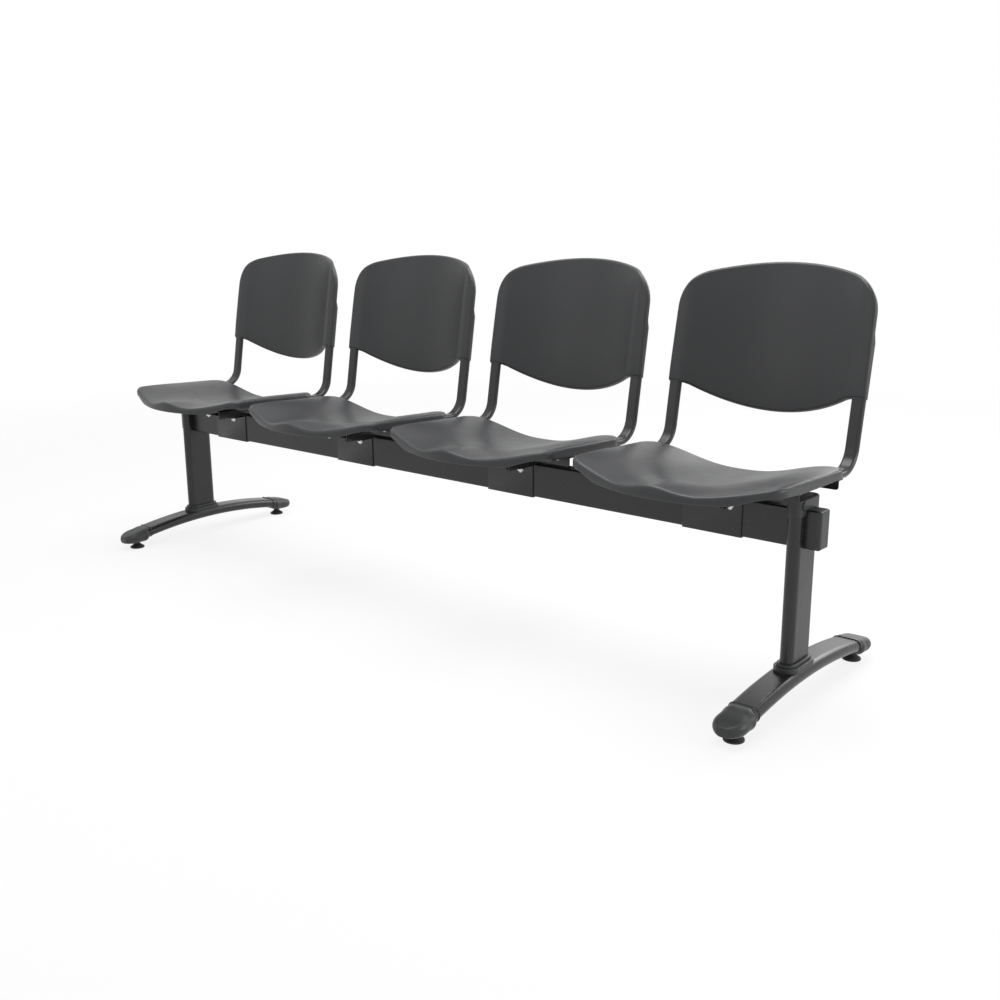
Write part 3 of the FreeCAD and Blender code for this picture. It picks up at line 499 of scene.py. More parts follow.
def shell_rings(outline, middle, level, rim, edge_round):
    """Closed rings of a moulded shell, from the middle of its face round the edge to its rear."""
    wall = sizes().shell_wall
    plate = sizes().shell_plate
    rings = []

    def ring(points, depths):
        rings.append([(point.x, point.y, depth) for point, depth in zip(points, depths)])

    def spread(edge_points, drop, shares):
        for share in shares:
            points = [middle.lerp(point, share) for point in edge_points]
            ring(points, [level(point.x, point.y) + drop for point in points])

    face_edge = drawn_in(outline, edge_round)
    face_levels = [level(point.x, point.y) for point in face_edge]
    shares = [math.sin(math.pi / 2 * step / SHELL_RINGS) for step in range(1, SHELL_RINGS + 1)]
    spread(face_edge, 0, shares)
    for step in range(1, ROUND_STEPS + 1):
        angle = math.pi / 2 * step / ROUND_STEPS
        ring(drawn_in(outline, edge_round * (1 - math.sin(angle))),
             [depth + edge_round * (1 - math.cos(angle)) for depth in face_levels])
    rims = [rim(point.x, point.y) - wall / 2 for point in outline]
    for share in SKIRT_SHARES:
        ring(outline, [(depth + edge_round) * (1 - share) + end * share
                       for depth, end in zip(face_levels, rims)])
    for step in range(ROUND_STEPS + 1):
        angle = math.pi * step / ROUND_STEPS
        ring(drawn_in(outline, wall / 2 * (1 - math.cos(angle))),
             [end + wall / 2 * math.sin(angle) for end in rims])
    rear_edge = drawn_in(outline, wall + INNER_ROUND)
    rear_levels = [level(point.x, point.y) + plate for point in rear_edge]
    for step in range(INNER_STEPS):
        angle = math.pi / 2 * step / INNER_STEPS
        ring(drawn_in(outline, wall + INNER_ROUND * (1 - math.cos(angle))),
             [depth + INNER_ROUND * (1 - math.sin(angle)) for depth in rear_levels])
    spread(rear_edge, plate, shares[::-1])
    return rings


# Mesh building
def finished_object(name, mesh, material):
    """An object at the origin whose place is in its mesh, smooth apart from sharp edges."""
    mesh.materials.clear()
    mesh.materials.append(material)
    mesh.shade_smooth()
    mesh.set_sharp_from_angle(angle=SHARP_EDGE)
    piece = bpy.data.objects.new(name, mesh)
    put_in(piece)
    return piece


def loft(rings):
    """A closed skin over rings with the same count of points, with a point in the middle of each end."""
    build = bmesh.new()
    rows = [[build.verts.new(point) for point in ring] for ring in rings]
    count = len(rings[0])
    for near, far in zip(rows, rows[1:]):
        for index in range(count):
            after = (index + 1) % count
            build.faces.new((near[index], near[after], far[after], far[index]))
    for row, flip in ((rows[0], True), (rows[-1], False)):
        middle = sum((vert.co for vert in row), Vector()) / count
        pole = build.verts.new(middle)
        for index in range(count):
            after = (index + 1) % count
            side = (row[after], row[index]) if flip else (row[index], row[after])
            build.faces.new(side + (pole,))
    bmesh.ops.recalc_face_normals(build, faces=build.faces)
    mesh = bpy.data.meshes.new("loft")
    build.to_mesh(mesh)
    build.free()
    return mesh


def joined(meshes):
    """One mesh out of several."""
    build = bmesh.new()
    for mesh in meshes:
        build.from_mesh(mesh)
    whole = bpy.data.meshes.new("joined")
    build.to_mesh(whole)
    build.free()
    for mesh in meshes:
        bpy.data.meshes.remove(mesh)
    return whole


def oval(centre, along, across, length, width):
    """Points of a flat oval."""
    points = []
    for step in range(OVAL_POINTS):
        angle = 2 * math.pi * (step + 0.5) / OVAL_POINTS
        side = math.copysign((length - width) / 2, math.cos(angle))
        points.append(centre + along * (side + width / 2 * math.cos(angle))
                      + across * (width / 2 * math.sin(angle)))
    return points


def lathe(profile, centre=Vector()):
    """A turned piece: profile holds radius and height pairs, from one end to the other."""
    rings = []
    for radius, height in profile:
        ring = []
        for step in range(LATHE_POINTS):
            angle = 2 * math.pi * step / LATHE_POINTS
            ring.append(centre + Vector((radius * math.cos(angle), radius * math.sin(angle), height)))
        rings.append(ring)
    return loft(rings)


def rounded_profile(corners):
    """Profile through (radius, height, round) corners, each corner rounded."""
    profile = []
    for index, (radius, height, size) in enumerate(corners):
        here = Vector((radius, height))
        if size <= 0 or index in (0, len(corners) - 1):
            profile.append((radius, height))
            continue
        before = Vector(corners[index - 1][:2])
        after = Vector(corners[index + 1][:2])
        start = here + (before - here).normalized() * size
        end = here + (after - here).normalized() * size
        for step in range(PROFILE_STEPS + 1):
            share = step / PROFILE_STEPS
            point = start.lerp(here, share).lerp(here.lerp(end, share), share)
            profile.append((point.x, point.y))
    return profile


def bevelled(mesh, width):
    """The mesh with its flat faces made whole and its sharp edges bevelled."""
    build = bmesh.new()
    build.from_mesh(mesh)
    bmesh.ops.remove_doubles(build, verts=build.verts, dist=MERGE_DISTANCE)
    bmesh.ops.dissolve_limit(build, angle_limit=FLAT_ANGLE, verts=build.verts, edges=build.edges)
    sharp = [edge for edge in build.edges
             if len(edge.link_faces) == 2 and edge.calc_face_angle(0) > SHARP_EDGE]
    bmesh.ops.bevel(build, geom=sharp, offset=width, segments=BEVEL_SEGMENTS, profile=0.5,
                    affect="EDGES", clamp_overlap=True)
    bmesh.ops.triangulate(build, faces=[face for face in build.faces if len(face.verts) > 4])
    build.to_mesh(mesh)
    build.free()
    return mesh


# Geometry node trees
def new_tree(name, lengths, others=()):
    """A geometry node tree with a finish, some named lengths and other inputs, with their types."""
    tree = bpy.data.node_groups.new(name, "GeometryNodeTree")
    tree.interface.new_socket(name="Geometry", in_out="OUTPUT", socket_type="NodeSocketGeometry")
    inputs = [("Geometry", "NodeSocketGeometry"), ("Material", "NodeSocketMaterial"), *others]
    inputs += [(label, "NodeSocketFloat") for label in lengths]
    for label, kind in inputs:
        tree.interface.new_socket(name=label, in_out="INPUT", socket_type=kind)
    return tree, tree.nodes.new("NodeGroupInput"), tree.nodes.new("NodeGroupOutput")


def add_node(tree, kind, links=None, values=None, **settings):
    """A node with its settings, its values and what feeds its inputs."""
    node = tree.nodes.new(kind)
    for key, value in settings.items():
        setattr(node, key, value)
    for key, value in (values or {}).items():
        node.inputs[key].default_value = value
    for key, source in (links or {}).items():
        for feed in source if isinstance(source, list) else [source]:
            tree.links.new(feed, node.inputs[key])
    return node


def maths(tree, operation, first, second):
    """A maths node. Each side is a socket or a number."""
    node = tree.nodes.new("ShaderNodeMath")
    node.operation = operation
    for socket, source in zip(node.inputs, (first, second)):
        if isinstance(source, (int, float)):
            socket.default_value = source
        else:
            tree.links.new(source, socket)
    return node.outputs[0]


def lifted(tree, geometry, height):
    """Geometry moved up by a height socket."""
    offset = add_node(tree, "ShaderNodeCombineXYZ", {"Z": height})
    return add_node(tree, "GeometryNodeTransform",
                    {"Geometry": geometry, "Translation": offset.outputs[0]}).outputs[0]


def drum(tree, sides, radius, depth, base):
    """An upright drum that stands on a base height."""
    node = add_node(tree, "GeometryNodeMeshCylinder", {"Radius": radius, "Depth": depth},
                    {"Vertices": sides, "Side Segments": 1}, fill_type="NGON")
    middle = maths(tree, "ADD", base, maths(tree, "MULTIPLY", depth, 0.5))
    return lifted(tree, node.outputs["Mesh"], middle)


def finish_tree(tree, source, output, geometry):
    """Instances made real and given their finish."""
    real = add_node(tree, "GeometryNodeRealizeInstances", {"Geometry": geometry})
    finish = add_node(tree, "GeometryNodeSetMaterial",
                      {"Geometry": real.outputs[0], "Material": source.outputs["Material"]})
    tree.links.new(finish.outputs[0], output.inputs["Geometry"])


def run_tree(tree, points, values):
    """The mesh that a tree makes out of some points."""
    base = bpy.data.meshes.new("points")
    base.from_pydata([tuple(point) for point in points], [], [])
    carrier = bpy.data.objects.new("carrier", base)
    put_in(carrier)
    modifier = carrier.modifiers.new("nodes", "NODES")
    modifier.node_group = tree
    for item in tree.interface.items_tree:
        if item.item_type == "SOCKET" and item.in_out == "INPUT" and item.name in values:
            modifier[item.identifier] = values[item.name]
    bpy.context.view_layer.update()
    evaluated = carrier.evaluated_get(bpy.context.evaluated_depsgraph_get())
    mesh = bpy.data.meshes.new_from_object(evaluated)
    carrier.modifiers.clear()
    bpy.data.objects.remove(carrier)
    bpy.data.meshes.remove(base)
    return mesh


def bolt_tree():
    """A bolt with two washers and its nut at each point, which is the lowest point of the bolt."""
    tree, source, output = new_tree("bolt sets", (
        "Length", "Head radius", "Head height", "Nut height", "Tail", "Shank radius",
        "Washer radius", "Washer height"))
    take = source.outputs
    under_head = maths(tree, "SUBTRACT", take["Length"], take["Head height"])
    nut_top = maths(tree, "ADD", take["Tail"], take["Nut height"])
    lower_washer = maths(tree, "SUBTRACT", nut_top, take["Washer height"])
    drums = [drum(tree, SHANK_SIDES, take["Shank radius"], take["Length"], 0),
             drum(tree, HEAD_SIDES, take["Head radius"], take["Head height"], under_head),
             drum(tree, HEAD_SIDES, take["Head radius"], take["Nut height"], take["Tail"]),
             drum(tree, ROUND_SIDES, take["Washer radius"], take["Washer height"], under_head),
             drum(tree, ROUND_SIDES, take["Washer radius"], take["Washer height"], lower_washer)]
    bolt = add_node(tree, "GeometryNodeJoinGeometry", {"Geometry": drums})
    placed = add_node(tree, "GeometryNodeInstanceOnPoints",
                      {"Points": take["Geometry"], "Instance": bolt.outputs[0]})
    finish_tree(tree, source, output, placed.outputs[0])
    return tree


def scatter_tree():
    """A copy of one piece at each point, all turned the same way."""
    tree, source, output = new_tree("copies at points", (), [
        ("Piece", "NodeSocketObject"), ("Turn", "NodeSocketVector")])
    piece = add_node(tree, "GeometryNodeObjectInfo", {"Object": source.outputs["Piece"]})
    turn = add_node(tree, "FunctionNodeEulerToRotation", {"Euler": source.outputs["Turn"]})
    placed = add_node(tree, "GeometryNodeInstanceOnPoints",
                      {"Points": source.outputs["Geometry"], "Instance": piece.outputs["Geometry"],
                       "Rotation": turn.outputs[0]})
    finish_tree(tree, source, output, placed.outputs[0])
    return tree


def thread_tree():
    """A threaded stud at each point: a core and a ridge that winds up round it."""
    tree, source, output = new_tree("threaded studs", ("Length", "Core radius", "Ridge", "Pitch"))
    take = source.outputs
    core = drum(tree, ROUND_SIDES, take["Core radius"], take["Length"], 0)
    spare = maths(tree, "MULTIPLY", take["Pitch"], 2.0)
    wound = maths(tree, "SUBTRACT", take["Length"], spare)
    turns = maths(tree, "DIVIDE", wound, take["Pitch"])
    spiral = add_node(tree, "GeometryNodeCurveSpiral",
                      {"Rotations": turns, "Start Radius": take["Core radius"],
                       "End Radius": take["Core radius"], "Height": wound}, {"Resolution": 24})
    ridge = add_node(tree, "GeometryNodeCurvePrimitiveCircle", {"Radius": take["Ridge"]},
                     {"Resolution": 4})
    winding = add_node(tree, "GeometryNodeCurveToMesh",
                       {"Curve": spiral.outputs[0], "Profile Curve": ridge.outputs["Curve"]},
                       {"Fill Caps": True})
    raised = lifted(tree, winding.outputs[0], take["Pitch"])
    stud = add_node(tree, "GeometryNodeJoinGeometry", {"Geometry": [core, raised]})
    placed = add_node(tree, "GeometryNodeInstanceOnPoints",
                      {"Points": take["Geometry"], "Instance": stud.outputs[0]})
    finish_tree(tree, source, output, placed.outputs[0])
    return tree


# Finishes
FINISHES = {}


def shader(name, roughness, metallic=0.0, specular=0.5):
    """A new node material, with its shader and the object's own coordinates."""
    material = bpy.data.materials.new(name)
    material.use_nodes = True
    tree = material.node_tree
    surface = tree.nodes["Principled BSDF"]
    surface.inputs["Roughness"].default_value = roughness
    surface.inputs["Metallic"].default_value = metallic
    surface.inputs["Specular IOR Level"].default_value = specular
    place = tree.nodes.new("ShaderNodeTexCoord")
    return material, tree, surface, place.outputs["Object"]


def noise(tree, place, spacing, detail=2.0, roughness=0.5):
    return add_node(tree, "ShaderNodeTexNoise", {"Vector": place},
                    {"Scale": 1 / spacing, "Detail": detail, "Roughness": roughness}).outputs["Fac"]


def between(tree, factor, low, high):
    """A value that goes from low to high with a noise's middle range."""
    return add_node(tree, "ShaderNodeMapRange", {"Value": factor},
                    {"From Min": NOISE_LOW, "From Max": NOISE_HIGH,
                     "To Min": low, "To Max": high}).outputs["Result"]


def tinted(tree, colour, factor, dark, light):
    """The colour made darker and lighter by a factor between 0 and 1."""
    ramp = tree.nodes.new("ShaderNodeMix")
    ramp.data_type = "RGBA"
    ramp.inputs["A"].default_value = (*[value * dark for value in colour], 1)
    ramp.inputs["B"].default_value = (*[value * light for value in colour], 1)
    tree.links.new(factor, ramp.inputs["Factor"])
    return ramp.outputs["Result"]


def bumps(tree, surface, layers):
    """Bump layers on the shader, each a height, a depth in metres and a strength."""
    normal = None
    for height, depth, strength in layers:
        links = {"Height": height}
        if normal is not None:
            links["Normal"] = normal
        normal = add_node(tree, "ShaderNodeBump", links,
                          {"Distance": depth, "Strength": strength}).outputs["Normal"]
    tree.links.new(normal, surface.inputs["Normal"])


def moulded_plastic(name, colour, roughness, grain):
    """Satin plastic with a fine moulded grain, faint flow marks and rubbed patches."""
    material, tree, surface, place = shader(name, roughness, specular=0.36)
    cells = add_node(tree, "ShaderNodeTexVoronoi", {"Vector": place},
                     {"Scale": 1 / grain}, feature="SMOOTH_F1").outputs["Distance"]
    fine = noise(tree, place, grain * FINE_GRAIN, detail=3.0)
    flow = noise(tree, place, FLOW_MARKS, detail=4.0, roughness=0.6)
    rubbed = noise(tree, place, RUBBED_PATCHES, detail=6.0, roughness=0.65)
    tree.links.new(tinted(tree, colour, flow, dark=0.93, light=1.07), surface.inputs["Base Color"])
    spread = between(tree, rubbed, low=roughness - 0.03, high=roughness + 0.04)
    tree.links.new(spread, surface.inputs["Roughness"])
    bumps(tree, surface, [(cells, GRAIN_DEPTH, MOULD_STRENGTH), (fine, FINE_DEPTH, MOULD_STRENGTH)])
    return material


def powder_coat(name, colour, roughness):
    """Powder coat: orange peel, fine specks and slightly duller patches."""
    material, tree, surface, place = shader(name, roughness, specular=0.42)
    peel = noise(tree, place, ORANGE_PEEL)
    specks = noise(tree, place, COAT_SPECKS, detail=1.0)
    patches = noise(tree, place, DULL_PATCHES, detail=5.0, roughness=0.6)
    tree.links.new(tinted(tree, colour, specks, dark=0.85, light=1.18), surface.inputs["Base Color"])
    spread = between(tree, patches, low=roughness - 0.04, high=roughness + 0.06)
    tree.links.new(spread, surface.inputs["Roughness"])
    bumps(tree, surface, [(peel, PEEL_DEPTH, MOULD_STRENGTH), (specks, SPECK_DEPTH, SPECK_STRENGTH)])
    return material


def zinc_plate(name, colour):
    """Bright zinc with faint clouds and drawn marks."""
    material, tree, surface, place = shader(name, roughness=0.3, metallic=1.0)
    clouds = noise(tree, place, ZINC_CLOUDS, detail=5.0, roughness=0.7)
    marks = noise(tree, place, ZINC_MARKS, detail=3.0)
    tree.links.new(tinted(tree, colour, clouds, dark=0.8, light=1.1), surface.inputs["Base Color"])
    tree.links.new(between(tree, clouds, low=0.22, high=0.42), surface.inputs["Roughness"])
    bumps(tree, surface, [(marks, SPECK_DEPTH, MARK_STRENGTH)])
    return material


def finishes():
    """The finish of each of the record's slots, made once."""
    if "shell_plastic" not in FINISHES:
        tint = colours()
        grain = sizes().grain
        FINISHES.update(
            shell_plastic=moulded_plastic("moulded shell", tint.shell, roughness=0.38, grain=grain),
            moulded_trim=moulded_plastic("moulded trim", tint.trim, roughness=0.40,
                                         grain=grain * TRIM_GRAIN),
            pad_plastic=moulded_plastic("pad plastic", tint.pad, roughness=0.55,
                                        grain=grain * PAD_GRAIN),
            coated_steel=powder_coat("powder coat", tint.steel, roughness=0.28),
            zinc_steel=zinc_plate("zinc plate", tint.zinc))
    return FINISHES


def seat_middle(number):
    low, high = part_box("seat_shell_%d" % number)
    return (low.x + high.x) / 2


def tube_places(number):
    """Both side tubes of a seat, along the beam."""
    return [seat_middle(number) + across for across in (-TUBE_X, TUBE_X)]


def place_piece(name, mesh, slot, body="bench", nodes=()):
    """A finished piece that rides on a body and stands for some nodes."""
    piece = finished_object(name, mesh, finishes()[slot])
    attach(piece, body)
    if nodes:
        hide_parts(*nodes)
    return piece


def tube_level(y):
    """Height of a side tube's middle line."""
    return BEND_Z + (BEND_Y - y) * math.tan(SEAT_TILT)


def back_point(x, along, behind):
    """A point of the leaning back: along the upright from the back's lower corners."""
    return BEND_END + Vector((x, 0, 0)) + LEAN_UP * (BACK_START + along) + LEAN_BACK * behind


class BENCH_OT_finishes(bpy.types.Operator):
    """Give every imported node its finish"""

    bl_idname = "bench.finishes"
    bl_label = "Finishes"

    def execute(self, context):
        for name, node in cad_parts.items():
            slot = node.data.materials[0].name.split(".")[0]
            if slot not in finishes():
                raise RuntimeError("no finish for slot %s of %s" % (slot, name))
            node.data.materials[0] = finishes()[slot]
        return {"FINISHED"}


class BENCH_OT_seats(bpy.types.Operator):
    """Mould the four seats"""

    bl_idname = "bench.seats"
    bl_label = "Seats"

    def execute(self, context):
        outline = seat_outline()
        middle = Vector((0, (SEAT_FRONT + SEAT_REAR) / 2))

        def level(x, y):
            return -seat_top(x, y)

        def rim(x, y):
            return max(-skirt_line(x, y), EDGE_BAND - seat_top(x, y))

        rings = shell_rings(outline, middle, level, rim, sizes().seat_edge)
        for number in SEAT_NUMBERS:
            shift = seat_middle(number)
            mesh = loft([[Vector((shift + x, BEAM_Y + y, -depth)) for x, y, depth in ring]
                         for ring in rings])
            place_piece("moulded_seat_%d" % number, mesh, "shell_plastic",
                        nodes=["seat_shell_%d" % number])
        return {"FINISHED"}


class BENCH_OT_backs(bpy.types.Operator):
    """Mould the four backs with their sockets for the uprights"""

    bl_idname = "bench.backs"
    bl_label = "Backs"

    def execute(self, context):
        front = -(TUBE_DEPTH / 2 + PLAY + sizes().shell_plate)
        middle = Vector((0, (BACK_CROWN - BACK_LOBE) / 2))

        def rim(x, along):
            return back_depth(x, along) + BACK_RIM

        rings = shell_rings(back_outline(), middle, back_depth, rim, sizes().back_edge)
        for number in SEAT_NUMBERS:
            shift = seat_middle(number)
            meshes = [loft([[back_point(shift + x, along, front + depth) for x, along, depth in ring]
                            for ring in rings])]
            meshes += [loft(self.socket_rings(x)) for x in tube_places(number)]
            place_piece("moulded_back_%d" % number, joined(meshes), "shell_plastic",
                        nodes=["back_shell_%d" % number])
        return {"FINISHED"}

    def socket_rings(self, x):
        """A cup round the end of an upright, which tapers into the sheet above it."""
        inside = UPRIGHT_LENGTH - BACK_START + PLAY
        top = inside + POCKET_WALL
        across = Vector((1, 0, 0))
        wide = self.oval_ring(x, top, PLAY + POCKET_WALL, across)
        tip = oval(back_point(x, top + POCKET_TAPER, -(TUBE_DEPTH / 2 + PLAY)), across, LEAN_BACK,
                   POCKET_TIP_WIDTH, POCKET_TIP_DEPTH)
        rings = [self.oval_ring(x, inside, PLAY, across), self.oval_ring(x, 0.0, PLAY, across),
                 self.oval_ring(x, 0.0, PLAY + POCKET_WALL, across)]
        for step in range(POCKET_STEPS + 1):
            rings.append([low.lerp(high, step / POCKET_STEPS) for low, high in zip(wide, tip)])
        return rings

    def oval_ring(self, x, along, grow, across):
        return oval(back_point(x, along, 0), across, LEAN_BACK,
                    TUBE_WIDTH + 2 * grow, TUBE_DEPTH + 2 * grow)


class BENCH_OT_pressings(bpy.types.Operator):
    """Soften the edges of the rails, arms and clamps"""

    bl_idname = "bench.pressings"
    bl_label = "Pressed steel"

    def execute(self, context):
        for number in SEAT_NUMBERS:
            for node in ("cross_rails", "bracket_arms", "beam_clamp"):
                source = "%s_%d" % (node, number)
                mesh = bevelled(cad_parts[source].data.copy(), sizes().steel_edge)
                place_piece("pressed_%s" % source, mesh, "coated_steel", nodes=[source])
        return {"FINISHED"}


class BENCH_OT_tube_plugs(bpy.types.Operator):
    """Close the front ends of the side tubes with domed plugs"""

    bl_idname = "bench.tube_plugs"
    bl_label = "Tube plugs"

    def execute(self, context):
        meshes = []
        across = Vector((1, 0, 0))
        bore = TUBE_WIDTH - 2 * TUBE_WALL
        run = (BEND_Y - TUBE_FRONT) / math.cos(SEAT_TILT)
        rows = [(PLUG_DEPTH, bore - PLUG_PLAY), (0.0, bore), (0.0, TUBE_WIDTH)]
        rows += [(-out, TUBE_WIDTH - narrower) for out, narrower in PLUG_DOME]
        for x in [x for number in SEAT_NUMBERS for x in tube_places(number)]:
            end = BEND_START - RUN_BACK * run + Vector((x, 0, 0))
            meshes.append(loft([
                oval(end + RUN_BACK * behind, across, RUN_UP, width, TUBE_DEPTH - (TUBE_WIDTH - width))
                for behind, width in rows]))
        place_piece("tube_plugs", joined(meshes), "moulded_trim")
        return {"FINISHED"}


class BENCH_OT_fasteners(bpy.types.Operator):
    """Put in the clamp bolts, shell screws, seat bosses and column bolts"""

    bl_idname = "bench.fasteners"
    bl_label = "Fasteners"

    def execute(self, context):
        self.clamp_bolts()
        scatter = scatter_tree()
        tubes = [x for number in SEAT_NUMBERS for x in tube_places(number)]
        nodes = ["shell_screws_%d" % number for number in SEAT_NUMBERS]

        half_tube = TUBE_DEPTH / 2
        seats = [Vector((x, BEAM_Y + y, tube_level(y) - half_tube)) for x in tubes for y in SEAT_SCREW_Y]
        screw = self.screw(PAN_SHAPE, SCREW_HEAD, SCREW_HEAD_HEIGHT, SCREW_SHANK, SEAT_SCREW_LENGTH)
        self.scatter(scatter, "seat_screws", screw, seats, (math.pi, 0, 0), "zinc_steel", nodes)

        outside = half_tube + PLAY + POCKET_WALL
        backs = [back_point(x, BACK_SCREW_HEIGHT, outside) for x in tubes]
        screw = self.screw(PAN_SHAPE, SCREW_HEAD, SCREW_HEAD_HEIGHT, SCREW_SHANK, BACK_SCREW_LENGTH)
        self.scatter(scatter, "back_screws", screw, backs, (-math.pi / 2 - BACK_LEAN, 0, 0),
                     "zinc_steel", ())

        bosses = [Vector((x, BEAM_Y + y, tube_level(y) + half_tube + PLAY))
                  for x in tubes for y in SEAT_SCREW_Y]
        room = min(seat_top(TUBE_X, y) - tube_level(y) for y in SEAT_SCREW_Y)
        height = room - half_tube - BOSS_COVER
        boss = lathe(rounded_profile([(BOSS_BORE, 0, 0), (BOSS_END, 0, BOSS_EDGE),
                                      (BOSS_WAIST, height * BOSS_WAIST_SHARE, 0), (BOSS_ROOT, height, 0),
                                      (BOSS_BORE, height, 0)]))
        self.scatter(scatter, "seat_bosses", boss, bosses, (0, 0, 0), "shell_plastic", ())

        low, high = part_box("column_bolts")
        points = [Vector((x, high.y - BUTTON_HEIGHT, z))
                  for x in (low.x + BUTTON_HEAD, high.x - BUTTON_HEAD)
                  for z in (low.z + BUTTON_HEAD, high.z - BUTTON_HEAD)]
        button = self.screw(BUTTON_SHAPE, BUTTON_HEAD, BUTTON_HEIGHT, BUTTON_SHANK, BUTTON_LENGTH)
        self.scatter(scatter, "column_bolt_heads", button, points, (-math.pi / 2, 0, 0),
                     "zinc_steel", ["column_bolts"])
        return {"FINISHED"}

    def clamp_bolts(self):
        places = []
        for number in SEAT_NUMBERS:
            low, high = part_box("clamp_bolts_%d" % number)
            centre_x = (low.x + high.x) / 2
            centre_y = (low.y + high.y) / 2
            places += [Vector((centre_x + across * CLAMP_BOLT_X, centre_y + along * CLAMP_BOLT_Y, low.z))
                       for across in (-1, 1) for along in (-1, 1)]
        mesh = run_tree(bolt_tree(), places, {
            "Length": high.z - low.z, "Head radius": sizes().bolt_head / math.sqrt(3),
            "Head height": BOLT_HEAD_HEIGHT, "Nut height": NUT_HEIGHT, "Tail": BOLT_TAIL,
            "Shank radius": BOLT_SHANK, "Washer radius": sizes().washer / 2,
            "Washer height": WASHER_HEIGHT, "Material": finishes()["zinc_steel"]})
        place_piece("clamp_bolt_sets", bevelled(mesh, BOLT_EDGE), "zinc_steel",
                    nodes=["clamp_bolts_%d" % number for number in SEAT_NUMBERS])

    def screw(self, shape, head_radius, head_height, shank_radius, shank_length):
        """A head with a driver recess, pointing up, and its shank below."""
        corners = [(AXIS_GAP, -shank_length, 0), (shank_radius, -shank_length, SCREW_EDGE),
                   (shank_radius, 0, 0), (head_radius, 0, SCREW_EDGE)]
        for across, up, size in shape:
            corners.append((max(head_radius * across, AXIS_GAP), head_height * up, size))
        return lathe(rounded_profile(corners))

    def scatter(self, tree, name, mesh, points, turn, slot, nodes):
        pattern = bpy.data.objects.new("pattern", mesh)
        put_in(pattern)
        whole = run_tree(tree, points, {"Piece": pattern, "Turn": turn, "Material": finishes()[slot]})
        bpy.data.objects.remove(pattern)
        place_piece(name, whole, slot, nodes=nodes)


class BENCH_OT_levellers(bpy.types.Operator):
    """Turn the levelling pads and their threaded studs"""

    bl_idname = "bench.levellers"
    bl_label = "Levellers"

    def execute(self, context):
        tree = thread_tree()
        for label in SIDES:
            for where in ENDS:
                place = "%s_%s" % (where, label)
                low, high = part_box("leveller_stud_" + place)
                centre = (low + high) / 2
                base = Vector((centre.x, centre.y, low.z))
                radius = (high.x - low.x) / 2
                mesh = run_tree(tree, [base], {
                    "Length": high.z - low.z, "Core radius": radius - THREAD_RIDGE,
                    "Ridge": THREAD_RIDGE, "Pitch": THREAD_PITCH,
                    "Material": finishes()["zinc_steel"]})
                place_piece("threaded_stud_" + place, mesh, "zinc_steel", "stud_" + place,
                            ["leveller_stud_" + place])
                self.pad(place, radius)
        return {"FINISHED"}

    def pad(self, place, stud_radius):
        low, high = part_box("leveller_pad_" + place)
        centre = Vector(((low.x + high.x) / 2, (low.y + high.y) / 2, low.z))
        outer = (high.x - low.x) / 2
        top = high.z - low.z
        bore = stud_radius + PAD_PLAY
        profile = rounded_profile([
            (AXIS_GAP, PAD_FLOOR, 0), (bore, PAD_FLOOR, 0), (bore, top, 0), (PAD_NECK, top, PAD_EDGE),
            (PAD_NECK_FOOT, top - PAD_NECK_LENGTH, PAD_CREASE),
            (PAD_SHOULDER, PAD_SHOULDER_HEIGHT, PAD_SHOULDER_ROUND),
            (outer - PAD_RIM_SLOPE, PAD_RIM_HEIGHT, PAD_RIM_SLOPE), (outer, PAD_RIM_SIDE, PAD_EDGE),
            (outer, PAD_RECESS_HEIGHT, PAD_EDGE), (outer - PAD_CHAMFER, 0, PAD_LOW_EDGE),
            (PAD_RECESS_EDGE, 0, PAD_CREASE), (PAD_RECESS, PAD_RECESS_HEIGHT, PAD_LOW_EDGE),
            (AXIS_GAP, PAD_RECESS_HEIGHT, 0)])
        place_piece("turned_pad_" + place, lathe(profile, centre), "pad_plastic", "pad_" + place,
                    ["leveller_pad_" + place])


